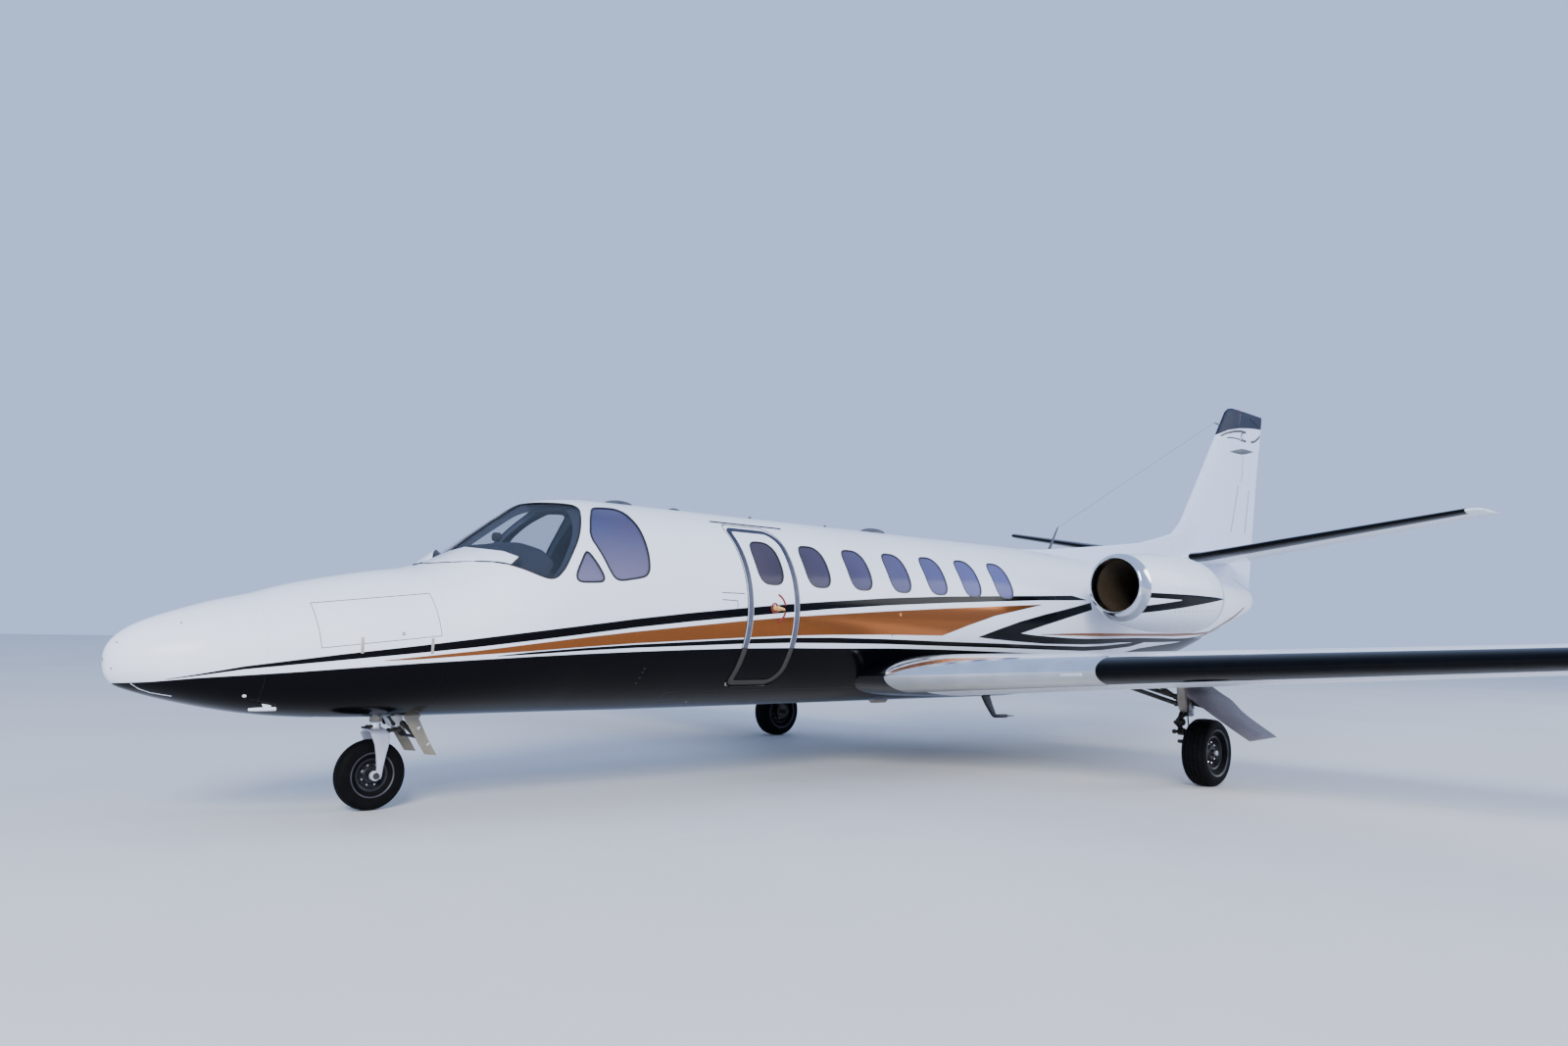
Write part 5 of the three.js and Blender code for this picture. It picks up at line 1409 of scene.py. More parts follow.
fan_station, fan_radius, blade_count = 9.22, 0.256, 24
core_profile = ((9.345, 0.001), (9.345, 0.258), (9.95, 0.258), (10.14, 0.206), (10.29, 0.2), (10.44, 0.188),
                (10.44, 0.172), (10.29, 0.184), (10.18, 0.176), (10.18, 0.001))
pylon_rows = ((0.5, 9.02, 10.23, 1.69, 0.09), (1.5, 9.02, 10.23, 1.702, 0.09))
for side, word in both_sides:
    outer = [pod_ring(nacelle_outside, s, side) for s in stations_between(lip_end, 10.3, 0.05)]
    inner = [pod_ring(nacelle_outside, s, side, -0.006) for s in stations_between(lip_end, 10.28, 0.06)]
    skin = loft(f"nacelle_skin_{word}", outer + inner[::-1] + outer[:1])
    finish(skin, nacelle_paint, replaces=(f"nacelle_{word}",), angle=40)
    outer = [
        pod_ring(nacelle_outside, s, side, 0.0008)
        for s in (8.62, 8.6, 8.57, 8.545, 8.525, 8.512, 8.505, 8.5)
    ]
    inner = [pod_ring(nacelle_duct, s, side, -0.0008) for s in (8.5, 8.505, 8.51, 8.52, 8.53, 8.56, 8.6)]
    lip = loft(f"intake_lip_{word}", outer + inner)
    apply(lip, "SOLIDIFY", thickness=0.0015, offset=0)
    finish(lip, polished, slot="aluminium", angle=60)
    duct = loft(
        f"intake_duct_{word}", [pod_ring(nacelle_duct, s, side) for s in stations_between(8.56, 9.33, 0.04)]
    )
    apply(duct, "SOLIDIFY", thickness=0.006, offset=1)
    finish(duct, duct_metal, slot="dark_plastic", angle=60)
    core = turned_about(f"engine_core_case_{word}", core_profile, side)
    finish(core, nozzle_metal, replaces=(f"engine_core_{word}",), slot="steel")
    spinner = turned_about(
        f"spinner_{word}",
        (
            (9.12, 0.0008), (9.124, 0.016), (9.135, 0.03), (9.155, 0.053), (9.18, 0.075), (9.21, 0.084),
            (9.24, 0.088), (9.3, 0.088), (9.3, 0.0008),
        ),
        side
    )
    finish(spinner, spinner_metal, f"fan_{word}", (f"fan_{word}",), "aluminium", 40)
    rings = []
    for k in range(9):
        radius = 0.082 + (fan_radius - 0.082) * k / 8
        twist = math.radians(28 + 34 * k / 8)
        half_chord = 0.036 + 0.012 * math.sin(math.pi * k / 8)
        row = []
        for a in turns(12):
            along, thick = half_chord * math.cos(a), 0.0032 * math.sin(a) + 0.006 * math.cos(a) ** 2
            s = fan_station + along * math.cos(twist) - thick * math.sin(twist)
            t = along * math.sin(twist) + thick * math.cos(twist)
            row.append(at(s, side * engine_y + t, engine_z + radius))
        rings.append(row)
    blade = loft(f"fan_blade_{word}", rings, ends=True)
    hub = at(0, side * engine_y, engine_z)
    blades = []
    for a in turns(blade_count):
        turned = Matrix.Translation(hub) @ Matrix.Rotation(a, 4, "X") @ Matrix.Translation(-hub)
        blades.append(copied(blade, turned))
    bpy.data.objects.remove(blade)
    finish(joined(f"fan_blades_{word}", *blades), fan_metal, f"fan_{word}", slot="steel", angle=50)
    pylon = wing_solid(f"pylon_skin_{word}", pylon_rows, side)
    carve(pylon, hull_solid(8.4, 12, joint))
    carve(
        pylon,
        loft(
            "pod", [pod_ring(nacelle_outside, s, side, joint) for s in stations_between(8.5, 10.3, 0.05)],
            ends=True
        )
    )
    trim(pylon, (0, side * engine_y, 0), port if side > 0 else starboard)
    finish(pylon, white_gloss, replaces=(f"pylon_{word}",), angle=50)


# Wheels: cast magnesium hubs with ribbed tyres; the nose wheel stands in a fork and the main wheels
# each on a leg inboard of them.
nose_wheel = {"s": 1.584, "y": 0, "radius": 0.2285, "width": 0.112, "rim": 0.108, "bore": 0.021,
              "pockets": 8, "grooves": (0.44, 0.0, -0.44), "rib_at": 0.28, "rib_size": 0.6}
main_wheel = {"s": 7.68, "y": 2.68, "radius": 0.2795, "width": 0.203, "rim": 0.14, "bore": 0.029,
              "pockets": 9, "grooves": (0.52, 0.18, -0.18, -0.52), "rib_at": 0.36, "rib_size": 1}
tyre_rubber = worn_material(  # black and matt
    "tyre_rubber", "#060607", ("#040405", "#09090b"), (0.65, 0.85), (0.3, 0.001), 180, Roughness=0.75,
    Specular_IOR_Level=0.1,
)
hub_metal = worn_material(  # dark enamel over a slight casting grain
    "cast_hub", "#1d1e21", ("#17181a", "#26272b"), (0.38, 0.55), (0.15, 0.001), 120, Metallic=0.4,
    Roughness=0.45,
)
rib_rubber = worn_material(  # greyer where the side wall rubs
    # a raised rib whose lighter grey is a painted highlight on the side wall
    "highlight_grey_rubber", "#33343a", ("#2b2c31", "#3d3e45"), (0.42, 0.6), (0.15, 0.001), 180, Roughness=0.5,
)


def on_wheel(wheel, side, angle, radius, across=0):
    """A point on a wheel from its angle and radius about the axle and its distance across the tyre."""
    return Vector((nose_tip - wheel["s"] + radius * math.cos(angle), side * wheel["y"] + across,
                   wheel["radius"] + radius * math.sin(angle)))


def wheel_ring(wheel, side, profile, count=72):
    """An outline of places across the tyre and radii, turned about the axle."""
    rings = [[on_wheel(wheel, side, a, r, t) for t, r in profile] for a in turns(count)]
    return rings + rings[:1]


def tyre_outline(wheel):
    half, rim, radius = wheel["width"] / 2, wheel["rim"], wheel["radius"]
    bulge = ((0.84, 0.18), (0.96, 0.38), (1.0, 0.52), (0.985, 0.68), (0.93, 0.82))
    side_wall = [(0.60, rim - 0.004), (0.70, rim + 0.006)]
    side_wall += [(share, rim + (radius - rim) * rise) for share, rise in bulge]
    side_wall += [(0.84, radius - 0.016), (0.72, radius - 0.006)]
    tread = []
    edge = 0.06
    for groove in wheel["grooves"]:
        crown = radius - 0.006 * (abs(groove) / 0.72) ** 2
        tread += [
            (groove + edge, crown), (groove + edge * 0.6, crown - 0.006),
            (groove - edge * 0.6, crown - 0.006), (groove - edge, crown)
        ]
    right = [(share * half, r) for share, r in side_wall]
    middle = [(share * half, r) for share, r in tread]
    left = [(-t, r) for t, r in reversed(right)]
    return right + middle + left


def hub_outline(wheel):
    half, rim, bore = wheel["width"] / 2, wheel["rim"], wheel["bore"]
    face = [
        (0.30, bore), (0.52, bore), (0.54, bore + 0.012), (0.5, bore + 0.03), (0.34, bore + 0.04),
        (0.26, rim * 0.62), (0.24, rim - 0.036), (0.4, rim - 0.024), (0.62, rim - 0.016),
        (0.68, rim - 0.006), (0.66, rim - 0.0005)
    ]
    right = [(share * half, r) for share, r in face]
    return right + [(-t, r) for t, r in reversed(right)]


def strut(start, stop, radius, collar=0.0):
    """A round bar with turned ends between two places, and a collar near each end."""
    start, stop = at(*start), at(*stop)
    length = (stop - start).length
    chamfer = min(0.004, radius * 0.3) / length
    profile = [(0, radius * 0.7), (0, radius - 0.003), (chamfer, radius)]
    if collar:
        band = 0.02 / length
        for place in (0.06, 0.94 - band):
            profile += [
                (place, radius), (place, radius + collar), (place + band, radius + collar),
                (place + band, radius)
            ]
    profile += [(1 - chamfer, radius), (1, radius - 0.003), (1, radius * 0.7)]
    return barrel(profile, start, stop, 28)


for wheel, side, body in (
    (nose_wheel, 0, "nose_wheel"), (main_wheel, 1, "main_wheel_left"), (main_wheel, -1, "main_wheel_right"),
):
    tyre_node = body.replace("wheel", "tyre")
    tyre = loft(f"{tyre_node}_rubber", wheel_ring(wheel, side, tyre_outline(wheel), 96))
    finish(tyre, tyre_rubber, body, (tyre_node,), "tyre", 35)
    half = wheel["width"] / 2
    middle = wheel["rim"] + (wheel["radius"] - wheel["rim"]) * wheel["rib_at"]
    size = wheel["rib_size"]
    ribs = []
    for out in (1, -1):
        outline = [
            (out * half * 0.92, middle - 0.009 * size),
            (out * (half * 0.95 + 0.0025), middle - 0.004 * size),
            (out * (half + 0.0015), middle + 0.004 * size), (out * half * 0.95, middle + 0.009 * size)
        ]
        ribs.append(loft("sidewall_rib", wheel_ring(wheel, side, outline)))
    finish(joined(f"{tyre_node}_sidewall_ribs", *ribs), rib_rubber, body, slot="tyre", angle=50)
    hub = loft(f"{body}_hub", wheel_ring(wheel, side, hub_outline(wheel)))
    pockets_at = (wheel["rim"] + wheel["bore"]) * 0.52
    for a in turns(wheel["pockets"]):
        for out in (-1, 1):
            mouth = on_wheel(wheel, side, a, pockets_at, out * wheel["width"])
            floor = mouth - Vector((0, out * wheel["width"] * 0.92, 0))
            carve(hub, barrel(((0, 0.014), (1, 0.014)), floor, mouth, 20))
    finish(hub, hub_metal, body, (body,), "aluminium", 30)
    bolts = []
    for k in range(wheel["pockets"]):
        a = 2 * math.pi * (k + 0.5) / wheel["pockets"]
        for out in (1, -1):
            seat = on_wheel(wheel, side, a, wheel["rim"] * 0.62, out * wheel["width"] * 0.13)
            head = seat + Vector((0, out * 0.014, 0))
            bolts.append(barrel(((0, 0.008), (0.8, 0.008), (1, 0.006)), seat, head, 6))
    finish(joined(f"{body}_bolts", *bolts), spinner_metal, body, slot="steel")


# Nose gear: an enamelled oleo leg under the wheel well with a chromed collar, a white-painted fork that
# clasps the tyre and steers, a lamp box behind the leg, and two narrow door plates that hang from the well's
# rear edge.
steer_s = 1.606
chrome = worn_material(  # bright, almost a mirror
    "chromed_steel", "#dfe1e4", ("#d6d8db", "#e6e8eb"), (0.06, 0.16), (0.02, 0.001), 90, Metallic=1.0,
    Roughness=0.1,
)
gear_paint = worn_material(  # pale blue-grey, slightly worn
    "gear_enamel", "#b4b6c4", ("#a6a8b8", "#bfc0cd"), (0.28, 0.45), (0.08, 0.001), 110, Roughness=0.35,
    Coat_Weight=0.2,
)
leg_enamel = worn_material(  # warm grey: painted shade, warmed by a painted reflection of the floor
    "warm_grey_enamel", "#8d857b", ("#7f776d", "#9c958c"), (0.3, 0.5), (0.1, 0.001), 110, Roughness=0.4,
    Metallic=0.3,
)
lamp_enamel = worn_material(  # even and satin
    "white_enamel", "#f4f5f7", ("#eff0f3", "#f8f9fa"), (0.32, 0.48), (0.05, 0.001), 110, Roughness=0.4,
)
dark_steel = worn_material(  # dark brown-grey with a dull shine
    "oiled_steel", "#3a3733", ("#2e2b28", "#4a4641"), (0.35, 0.55), (0.15, 0.001), 140, Metallic=0.8,
    Roughness=0.42,
)
hose_rubber = worn_material(  # black and matt
    "brake_hose", "#1a1a1c", ("#151517", "#232326"), (0.5, 0.7), (0.1, 0.0005), 400, Roughness=0.55,
)

axle = Vector((nose_tip - nose_wheel["s"], 0, nose_wheel["radius"]))
fork_path = (
    (-0.012, 0.026, 0.02, 0.018), (0.012, 0.029, 0.019, 0.024), (0.06, 0.032, 0.023, 0.022),
    (0.13, 0.035, 0.034, 0.023), (0.2, 0.037, 0.049, 0.027), (0.24, 0.03, 0.058, 0.03),
    (0.268, 0.022, 0.062, 0.03)
)
arms = []
for side in (1, -1):
    rings = []
    for rise, aft, half, thick in fork_path:
        middle = Vector((axle.x - aft, side * 0.082, axle.z + rise))
        rings.append(oval(middle, Vector((half, 0, 0)), Vector((0, thick / 2, 0)), 32, 1, 0.6))
    arms.append(loft("fork_arm", rings, ends=True))
    # The eye that the axle goes through.
    arms.append(barrel(((0, 0.026), (0.08, 0.032), (0.92, 0.032), (1, 0.026)),
                       axle + Vector((0, side * 0.068, 0)), axle + Vector((0, side * 0.1, 0)), 36))
rings = []
for k in range(13):
    a = math.pi * k / 12
    middle = at(steer_s, 0.082 * math.cos(a), 0.488 + 0.03 * math.sin(a))
    out = Vector((0, math.cos(a), math.sin(a)))
    half = 0.062 - 0.008 * math.sin(a)
    rings.append(oval(middle, Vector((half, 0, 0)), out * 0.015, 32, 1, 0.6))
arms.append(loft("fork_crown", rings, ends=True))
fork = joined("nose_fork_casting", *arms)
finish(fork, gear_paint, "nose_fork", ("nose_fork",), "white_paint", 40)
axle_rod = strut((nose_wheel["s"], -0.108, axle.z), (nose_wheel["s"], 0.108, axle.z), 0.016)
nuts = [axle_rod]
for side in (1, -1):
    nuts.append(barrel(((0, 0.022), (0.7, 0.022), (1, 0.017)), axle + Vector((0, side * 0.1, 0)),
                       axle + Vector((0, side * 0.118, 0)), 6))
finish(joined("nose_axle_and_nuts", *nuts), dark_steel, "nose_fork", slot="steel")
collar = barrel(((0, 0.036), (0.1, 0.048), (0.4, 0.048), (0.45, 0.036), (1, 0.036)),
                at(steer_s, 0, 0.512), at(steer_s, 0, 0.56), 40, "steering_collar")
finish(collar, chrome, "nose_fork", slot="steel")

oleo = barrel(
    ((0, 0.036), (0.02, 0.04), (0.14, 0.04), (0.15, 0.048), (0.5, 0.048), (0.52, 0.052), (1, 0.052)),
    at(steer_s, 0, 0.566), at(steer_s, 0, 0.97), 48,
)
trunnion = strut((steer_s, -0.155, 0.73), (steer_s, 0.155, 0.73), 0.03, 0.006)
leg = joined("nose_leg", oleo, trunnion)
finish(leg, leg_enamel, replaces=("nose_gear_leg",), slot="steel", angle=40)
lamp_box = prism(
    ((1.652, 0.625), (1.764, 0.622), (1.769, 0.531), (1.708, 0.533)), -0.05, 0.06, "nose_lamp_box"
)
rounded_edges(lamp_box, 0.006)
finish(lamp_box, lamp_enamel, slot="white_paint")
# The steering link and its pins, the bar between the door plates, and the rods that hold the bar.
links = [
    strut((1.655, 0.06, 0.512), (1.75, 0.065, 0.515), 0.012, 0.004),
    strut((1.752, 0.065, 0.508), (1.735, 0.065, 0.536), 0.01, 0.003),
    strut((1.514, 0, 0.535), (1.6, 0, 0.528), 0.007),
    strut((1.56, -0.03, 0.535), (1.56, 0.03, 0.535), 0.014),
    strut((1.851, -0.15, 0.466), (1.851, 0.15, 0.466), 0.01, 0.003),
]
for side in (1, -1):
    links.append(strut((1.65, side * 0.07, 0.62), (1.705, side * 0.07, 0.545), 0.009, 0.003))
    links.append(strut((1.735, side * 0.1, 0.57), (1.851, side * 0.1, 0.466), 0.015, 0.004))
finish(joined("nose_gear_links", *links), dark_steel, slot="steel")
door_line = (
    (1.72, 0.64), (1.728, 0.60), (1.79, 0.50), (1.885, 0.355), (1.97, 0.345), (1.908, 0.445), (1.832, 0.59),
    (1.86, 0.64)
)
plates = []
for side in (1, -1):
    plate = prism(door_line, side * 0.15, side * 0.158)
    rounded_edges(plate, 0.002)
    plates.append(plate)
plates = joined("nose_gear_door_plates", *plates)
carve(plates, hull_solid(1.0, 2.6, joint))
door_metal = worn_material(  # grey-brown and a little metallic: primer warmed by a painted reflection of the floor and darkened by painted shade
    "primed_aluminium", "#857d6c", ("#7c7566", "#938c7c"), (0.38, 0.55), (0.1, 0.001), 80, Metallic=0.35,
    Roughness=0.45,
)
finish(plates, door_metal, replaces=("nose_gear_doors",), angle=30)
bolts = [barrel(((0, 0.011), (0.7, 0.011), (1, 0.007)), at(s, y, z), at(s, y + 0.007, z), 16)
         for s, y, z in ((1.901, 0.157, 0.42), (1.99, -0.151, 0.399), (1.83, 0.157, 0.53))]
finish(joined("nose_gear_door_bolts", *bolts), chrome, slot="steel", angle=40)


# Main gear: a forged steel leg with two side braces, a brake and its hose, and a painted door plate that
# is hinged under the wing and leans outwards over the tyre.
door_plate = ((2.575, 0.885, 7.5, 7.785), (2.66, 0.819, 7.4, 7.81), (2.735, 0.761, 7.24, 7.832),
              (2.78, 0.726, 7.255, 7.862), (2.805, 0.707, 7.262, 7.875),
              (2.945, 0.6, 7.305, 7.826), (3.07, 0.511, 7.335, 7.838), (3.2, 0.425, 7.365, 7.853))
plate_paint = worn_material(  # mauve-grey with runway dirt
    # dark mauve-grey: painted shade under the wing on a white-painted door
    "shaded_gear_door", "#5e555a", ("#544c51", "#6a6166"), (0.32, 0.5), (0.08, 0.001), 60, Roughness=0.4,
)
for side, word in both_sides:
    wheel_s, wheel_z = main_wheel["s"], main_wheel["radius"]
    post = barrel(
        ((0, 0.036), (0.02, 0.042), (0.3, 0.044), (0.32, 0.052), (0.37, 0.052), (0.39, 0.044), (1, 0.044)),
        at(7.68, side * 2.5245, 0.255), at(7.64, side * 2.5145, 1.1), 40,
    )
    forging = loft(
        "leg_forging",
        [
            oval(at(middle, side * 2.518, z), Vector((-along, 0, 0)), Vector((0, across, 0)), 32, 0.6)
            for z, middle, along, across in (
                (0.605, 7.655, 0.052, 0.046), (0.64, 7.652, 0.07, 0.052), (0.70, 7.655, 0.1, 0.053),
                (0.80, 7.66, 0.115, 0.053), (1.1, 7.66, 0.118, 0.053)
            )
        ],
        ends=True
    )
    post = joined(f"main_gear_post_{word}", post, forging)
    carve(post, wing_solid("wing_block", wing_rows, side, joint))
    finish(post, leg_enamel, replaces=(f"main_gear_leg_{word}",), slot="steel", angle=40)
    # A bright collar, a boss, and the cap on the axle.
    bright = [
        barrel(
            ((0, 0.05), (0.1, 0.056), (0.9, 0.056), (1, 0.05)),
            at(7.662, side * 2.5195, 0.572), at(7.66, side * 2.5195, 0.608), 40
        ),
        barrel(
            ((0, 0.04), (0.9, 0.04), (1, 0.036)), at(7.648, side * 2.55, 0.655),
            at(7.648, side * 2.576, 0.655), 32
        ),
        barrel(
            ((0, 0.02), (0.8, 0.02), (1, 0.014)), at(wheel_s, side * 2.758, wheel_z),
            at(wheel_s, side * 2.776, wheel_z), 24
        ),
    ]
    finish(joined(f"main_gear_bright_parts_{word}", *bright), gear_paint, slot="steel", angle=40)
    # The axle, the boss's bore, and the jack that holds the door plate; then the side braces, the scissor
    # links with their pins, and the bar behind the leg.
    braces = [
        strut((wheel_s, side * 2.49, wheel_z), (wheel_s, side * 2.757, wheel_z), 0.024),
        barrel(
            ((0, 0.02), (1, 0.02)), at(7.648, side * 2.56, 0.655),
            at(7.648, side * 2.5775, 0.655), 24
        ),
        barrel(
            ((0, 0.03), (0.1, 0.036), (0.6, 0.034), (0.65, 0.024), (1, 0.012)),
            at(7.66, side * 2.575, 0.70), at(7.6, side * 2.79, 0.664), 28
        ),
    ]
    for s0, y0, z0, s1, y1, z1 in (
        (7.656, 2.47, 0.66, 7.50, 1.95, 0.83), (7.64, 2.47, 0.72, 7.49, 1.99, 0.87),
        (7.70, 2.47, 0.68, 7.80, 2.1, 0.86),
    ):
        braces.append(strut((s0, side * y0, z0), (s1, side * y1, z1), 0.019, 0.006))
    for s0, s1, z0, z1 in ((7.61, 7.489, 0.60, 0.534), (7.489, 7.57, 0.534, 0.45), (7.57, 7.65, 0.45, 0.40)):
        for y in (2.495, 2.545):
            braces.append(strut((s0, side * y, z0), (s1, side * 2.5195, z1), 0.013, 0.004))
    for s, z, radius in ((7.549, 0.526, 0.03), (7.562, 0.444, 0.03), (7.56, 0.362, 0.016)):
        braces.append(
            barrel(
                ((0, radius * 0.8), (0.1, radius), (0.9, radius), (1, radius * 0.8)),
                at(s, side * 2.487, z), at(s, side * 2.552, z), 24
            )
        )
    braces.append(strut((7.42, side * 2.5195, 0.452), (7.55, side * 2.5195, 0.446), 0.013, 0.005))
    braces = joined(f"main_gear_links_{word}", *braces)
    carve(braces, wing_solid("wing_block", wing_rows, side, joint))
    finish(braces, dark_steel, slot="steel", angle=40)
    brake = barrel(((0, 0.07), (0.1, 0.084), (0.9, 0.084), (1, 0.07)),
                   at(wheel_s, side * 2.575, wheel_z), at(wheel_s, side * 2.603, wheel_z), 48,
                   f"brake_drum_{word}")
    finish(brake, dark_steel, slot="steel", angle=40)
    hose_points = [
        at(s, side * y, z)
        for s, y, z in (
            (7.57, 2.578, 0.80), (7.556, 2.582, 0.68), (7.56, 2.578, 0.575), (7.61, 2.57, 0.43),
            (7.66, 2.57, 0.35),
        )
    ]
    rings = []
    path = [Vector(eased(tuple((k, *p) for k, p in enumerate(hose_points)), 4 * k / 24)) for k in range(25)]
    for k, place in enumerate(path):
        along = (path[min(k + 1, 24)] - path[max(k - 1, 0)]).normalized()
        first = along.cross(Vector((0, 1, 0))).normalized()
        second = along.cross(first)
        rings.append(oval(place, first * 0.006, second * 0.006, 12))
    hose = loft(f"brake_line_{word}", rings, ends=True)
    finish(hose, hose_rubber, slot="tyre", angle=60)
    rings = []
    for y in [2.575 + 0.625 * k / 20 for k in range(21)]:
        z, front, rear = eased(door_plate, y)
        rings.append([at(front, side * y, z), at(rear, side * y, z + 0.012),
                      at(rear, side * y, z + 0.02), at(front, side * y, z + 0.008)])
    plate = loft(f"main_gear_door_skin_{word}", rings, ends=True)
    carve(plate, wing_solid("wing_block", wing_rows, side, joint))
    rounded_edges(plate, 0.0025, 2, 50)
    finish(plate, plate_paint, replaces=(f"main_gear_door_{word}",), angle=40)
    ribs = []
    for s in (7.44, 7.76):
        ribs.append(strut((s, side * 2.68, 0.788), (s, side * 3.12, 0.464), 0.009))
    finish(joined(f"main_gear_door_ribs_{word}", *ribs), dark_steel, slot="steel")


# Cabin floor: aluminium honeycomb under a short wool carpet, its edges against the cabin walls.
carpet = worn_material(  # soft brown pile with no shine
    "wool_carpet", "#8d8272", ("#7d7363", "#9c917f"), (0.85, 1.0), (0.6, 0.003), 420, Roughness=0.95,
    Sheen_Weight=0.3,
)
carpet_floor = hull_solid(1.8, 8.27, -0.078)
trim(carpet_floor, (0, 0, 0.8), up)
trim(carpet_floor, (0, 0, 0.776), down)
finish(carpet_floor, carpet, replaces=("cabin_floor",), slot="carpet")


# Seats: foam cushions in pale leather on shells with padded arms, the cabin seats on floor rails and the
# crew seats on a cross tie. One seat is made in full at the origin, and the rest are copies of it.
leather = worn_material(  # a fine grain and a low sheen
    "pale_leather", "#c8bca6", ("#bdb09a", "#d3c8b4"), (0.42, 0.6), (0.25, 0.001), 260, Roughness=0.5,
)
seat_shell_paint = worn_material(  # dull brown-grey powder coat
    "seat_shell_enamel", "#6b665e", ("#625d56", "#757068"), (0.38, 0.55), (0.1, 0.0005), 160, Roughness=0.45,
)
rail_metal = worn_material(  # pale and satin
    "anodised_rail", "#a9acb1", ("#9da0a5", "#b5b8bd"), (0.28, 0.45), (0.05, 0.0005), 90, Metallic=0.9,
    Roughness=0.35,
)


def rounded_box(low, high, radius, segments=3):
    block = box_between(low, high)
    apply(block, "BEVEL", width=radius, segments=segments, limit_method="NONE")
    return block


def deck_box(s0, s1, y0, y1, z0, z1, radius, segments=3):
    """A rounded block between two stations, two distances to port and two heights."""
    return rounded_box((nose_tip - s1, y0, z0), (nose_tip - s0, y1, z1), radius, segments)


def cushion(name, low, high, radius, swell):
    """A foam cushion: a rounded block blown up as cloth until its faces crown."""
    inner = [a + swell * 0.4 for a in low], [b - swell * 0.4 for b in high]
    pad = rounded_box(inner[0], inner[1], radius)
    pad.name = pad.data.name = name
    apply(pad, "REMESH", mode="VOXEL", voxel_size=foam_mesh)
    before = [vertex.co.copy() for vertex in pad.data.vertices]
    cloth = pad.modifiers.new("cloth", "CLOTH")
    cloth.settings.use_pressure = True
    cloth.settings.uniform_pressure_force = 4
    cloth.settings.effector_weights.gravity = 0
    cloth.settings.quality = 5
    scene = bpy.context.scene
    for number in range(1, 21):
        scene.frame_set(number)
    select_only(pad)
    bpy.ops.object.modifier_apply(modifier=cloth.name)
    scene.frame_set(1)
    for vertex, old in zip(pad.data.vertices, before):
        move = vertex.co - old
        vertex.co = old + move * min(1, swell / max(move.length, 0.000001))
    apply(pad, "SMOOTH", factor=0.5, iterations=6)
    return pad


seat_base, foam_mesh, swell = 0.8003, 0.012, 0.022
seat_pads = [
    cushion(
        "seat_cushion", (-0.235, -0.188, seat_base + 0.27), (0.235, 0.188, seat_base + 0.41), 0.035, swell
    ),
    cushion("seat_back", (-0.235, -0.2, seat_base + 0.4), (-0.135, 0.2, seat_base + 0.95), 0.035, swell),
]
lean = Matrix.Translation((-0.18, 0, seat_base + 0.4)) @ Matrix.Rotation(math.radians(-5), 4, "Y")
seat_pads[1].data.transform(lean @ Matrix.Translation((0.18, 0, -seat_base - 0.4)))
# Each arm is a pad on a panel.
arms = joined("seat_arms", *(
    rounded_box((rear, y - half, seat_base + bottom), (front, y + half, seat_base + top), radius)
    for y in (0.222, -0.222)
    for rear, front, half, bottom, top, radius in (
        (-0.17, 0.17, 0.028, 0.50, 0.56, 0.016), (-0.15, 0.13, 0.016, 0.38, 0.52, 0.006),
    )
))
# The pan, the back's shell, the foot and the skid under it.
shell = joined("seat_shell", *(
    rounded_box((rear, -half, seat_base + bottom), (front, half, seat_base + top), radius)
    for rear, front, half, bottom, top, radius in (
        (-0.225, 0.225, 0.235, 0.262, 0.29, 0.01), (-0.27, -0.235, 0.205, 0.28, 0.9, 0.012),
        (-0.12, 0.09, 0.09, 0.03, 0.27, 0.014), (-0.13, 0.11, 0.1, 0.022, 0.04, 0.004),
    )
))
cabin_places = [
    (s, side * 0.345, facing)
    for side in (1, -1)
    for s, facing in ((5.23, -1), (6.33, 1), (7.18, 1))
]
crew_places = [(3.13, 0.325, 1), (3.13, -0.325, 1)]
patterns = [(pad, leather, "leather") for pad in seat_pads] + [(arms, leather, "leather"),
                                                                (shell, seat_shell_paint, "dark_plastic")]
for i, (s, y, facing) in enumerate(cabin_places + crew_places):
    crew = i >= len(cabin_places)
    where = Matrix.Translation((nose_tip - s, y, 0)) @ Matrix.Rotation(0 if facing > 0 else math.pi, 4, "Z")
    for pattern, material, slot in patterns:
        copy = copied(pattern, where @ Matrix.Diagonal((1, 0.86 if crew else 1, 1, 1)))
        copy.name = copy.data.name = f"{pattern.name}_{'crew' if crew else 'cabin'}_{i + 1}"
        copy.data.update()
        finish(copy, material, slot=slot, angle=60)
        if pattern is seat_pads[0] and i in (0, len(cabin_places)):
            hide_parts("cockpit_seats" if crew else "cabin_seats")
for pattern, _, _ in patterns:
    bpy.data.objects.remove(pattern)
rails = []
for y in (-0.33, -0.25, 0.25, 0.33):
    rails.append(deck_box(4.9, 7.85, y - 0.014, y + 0.014, seat_base, seat_base + 0.022, 0.004, 2))
for s in (4.905, 7.82):
    rails.append(deck_box(s, s + 0.026, -0.344, 0.344, seat_base, seat_base + 0.018, 0.004, 2))
finish(joined("cabin_seat_rails", *rails), rail_metal, slot="aluminium", angle=50)


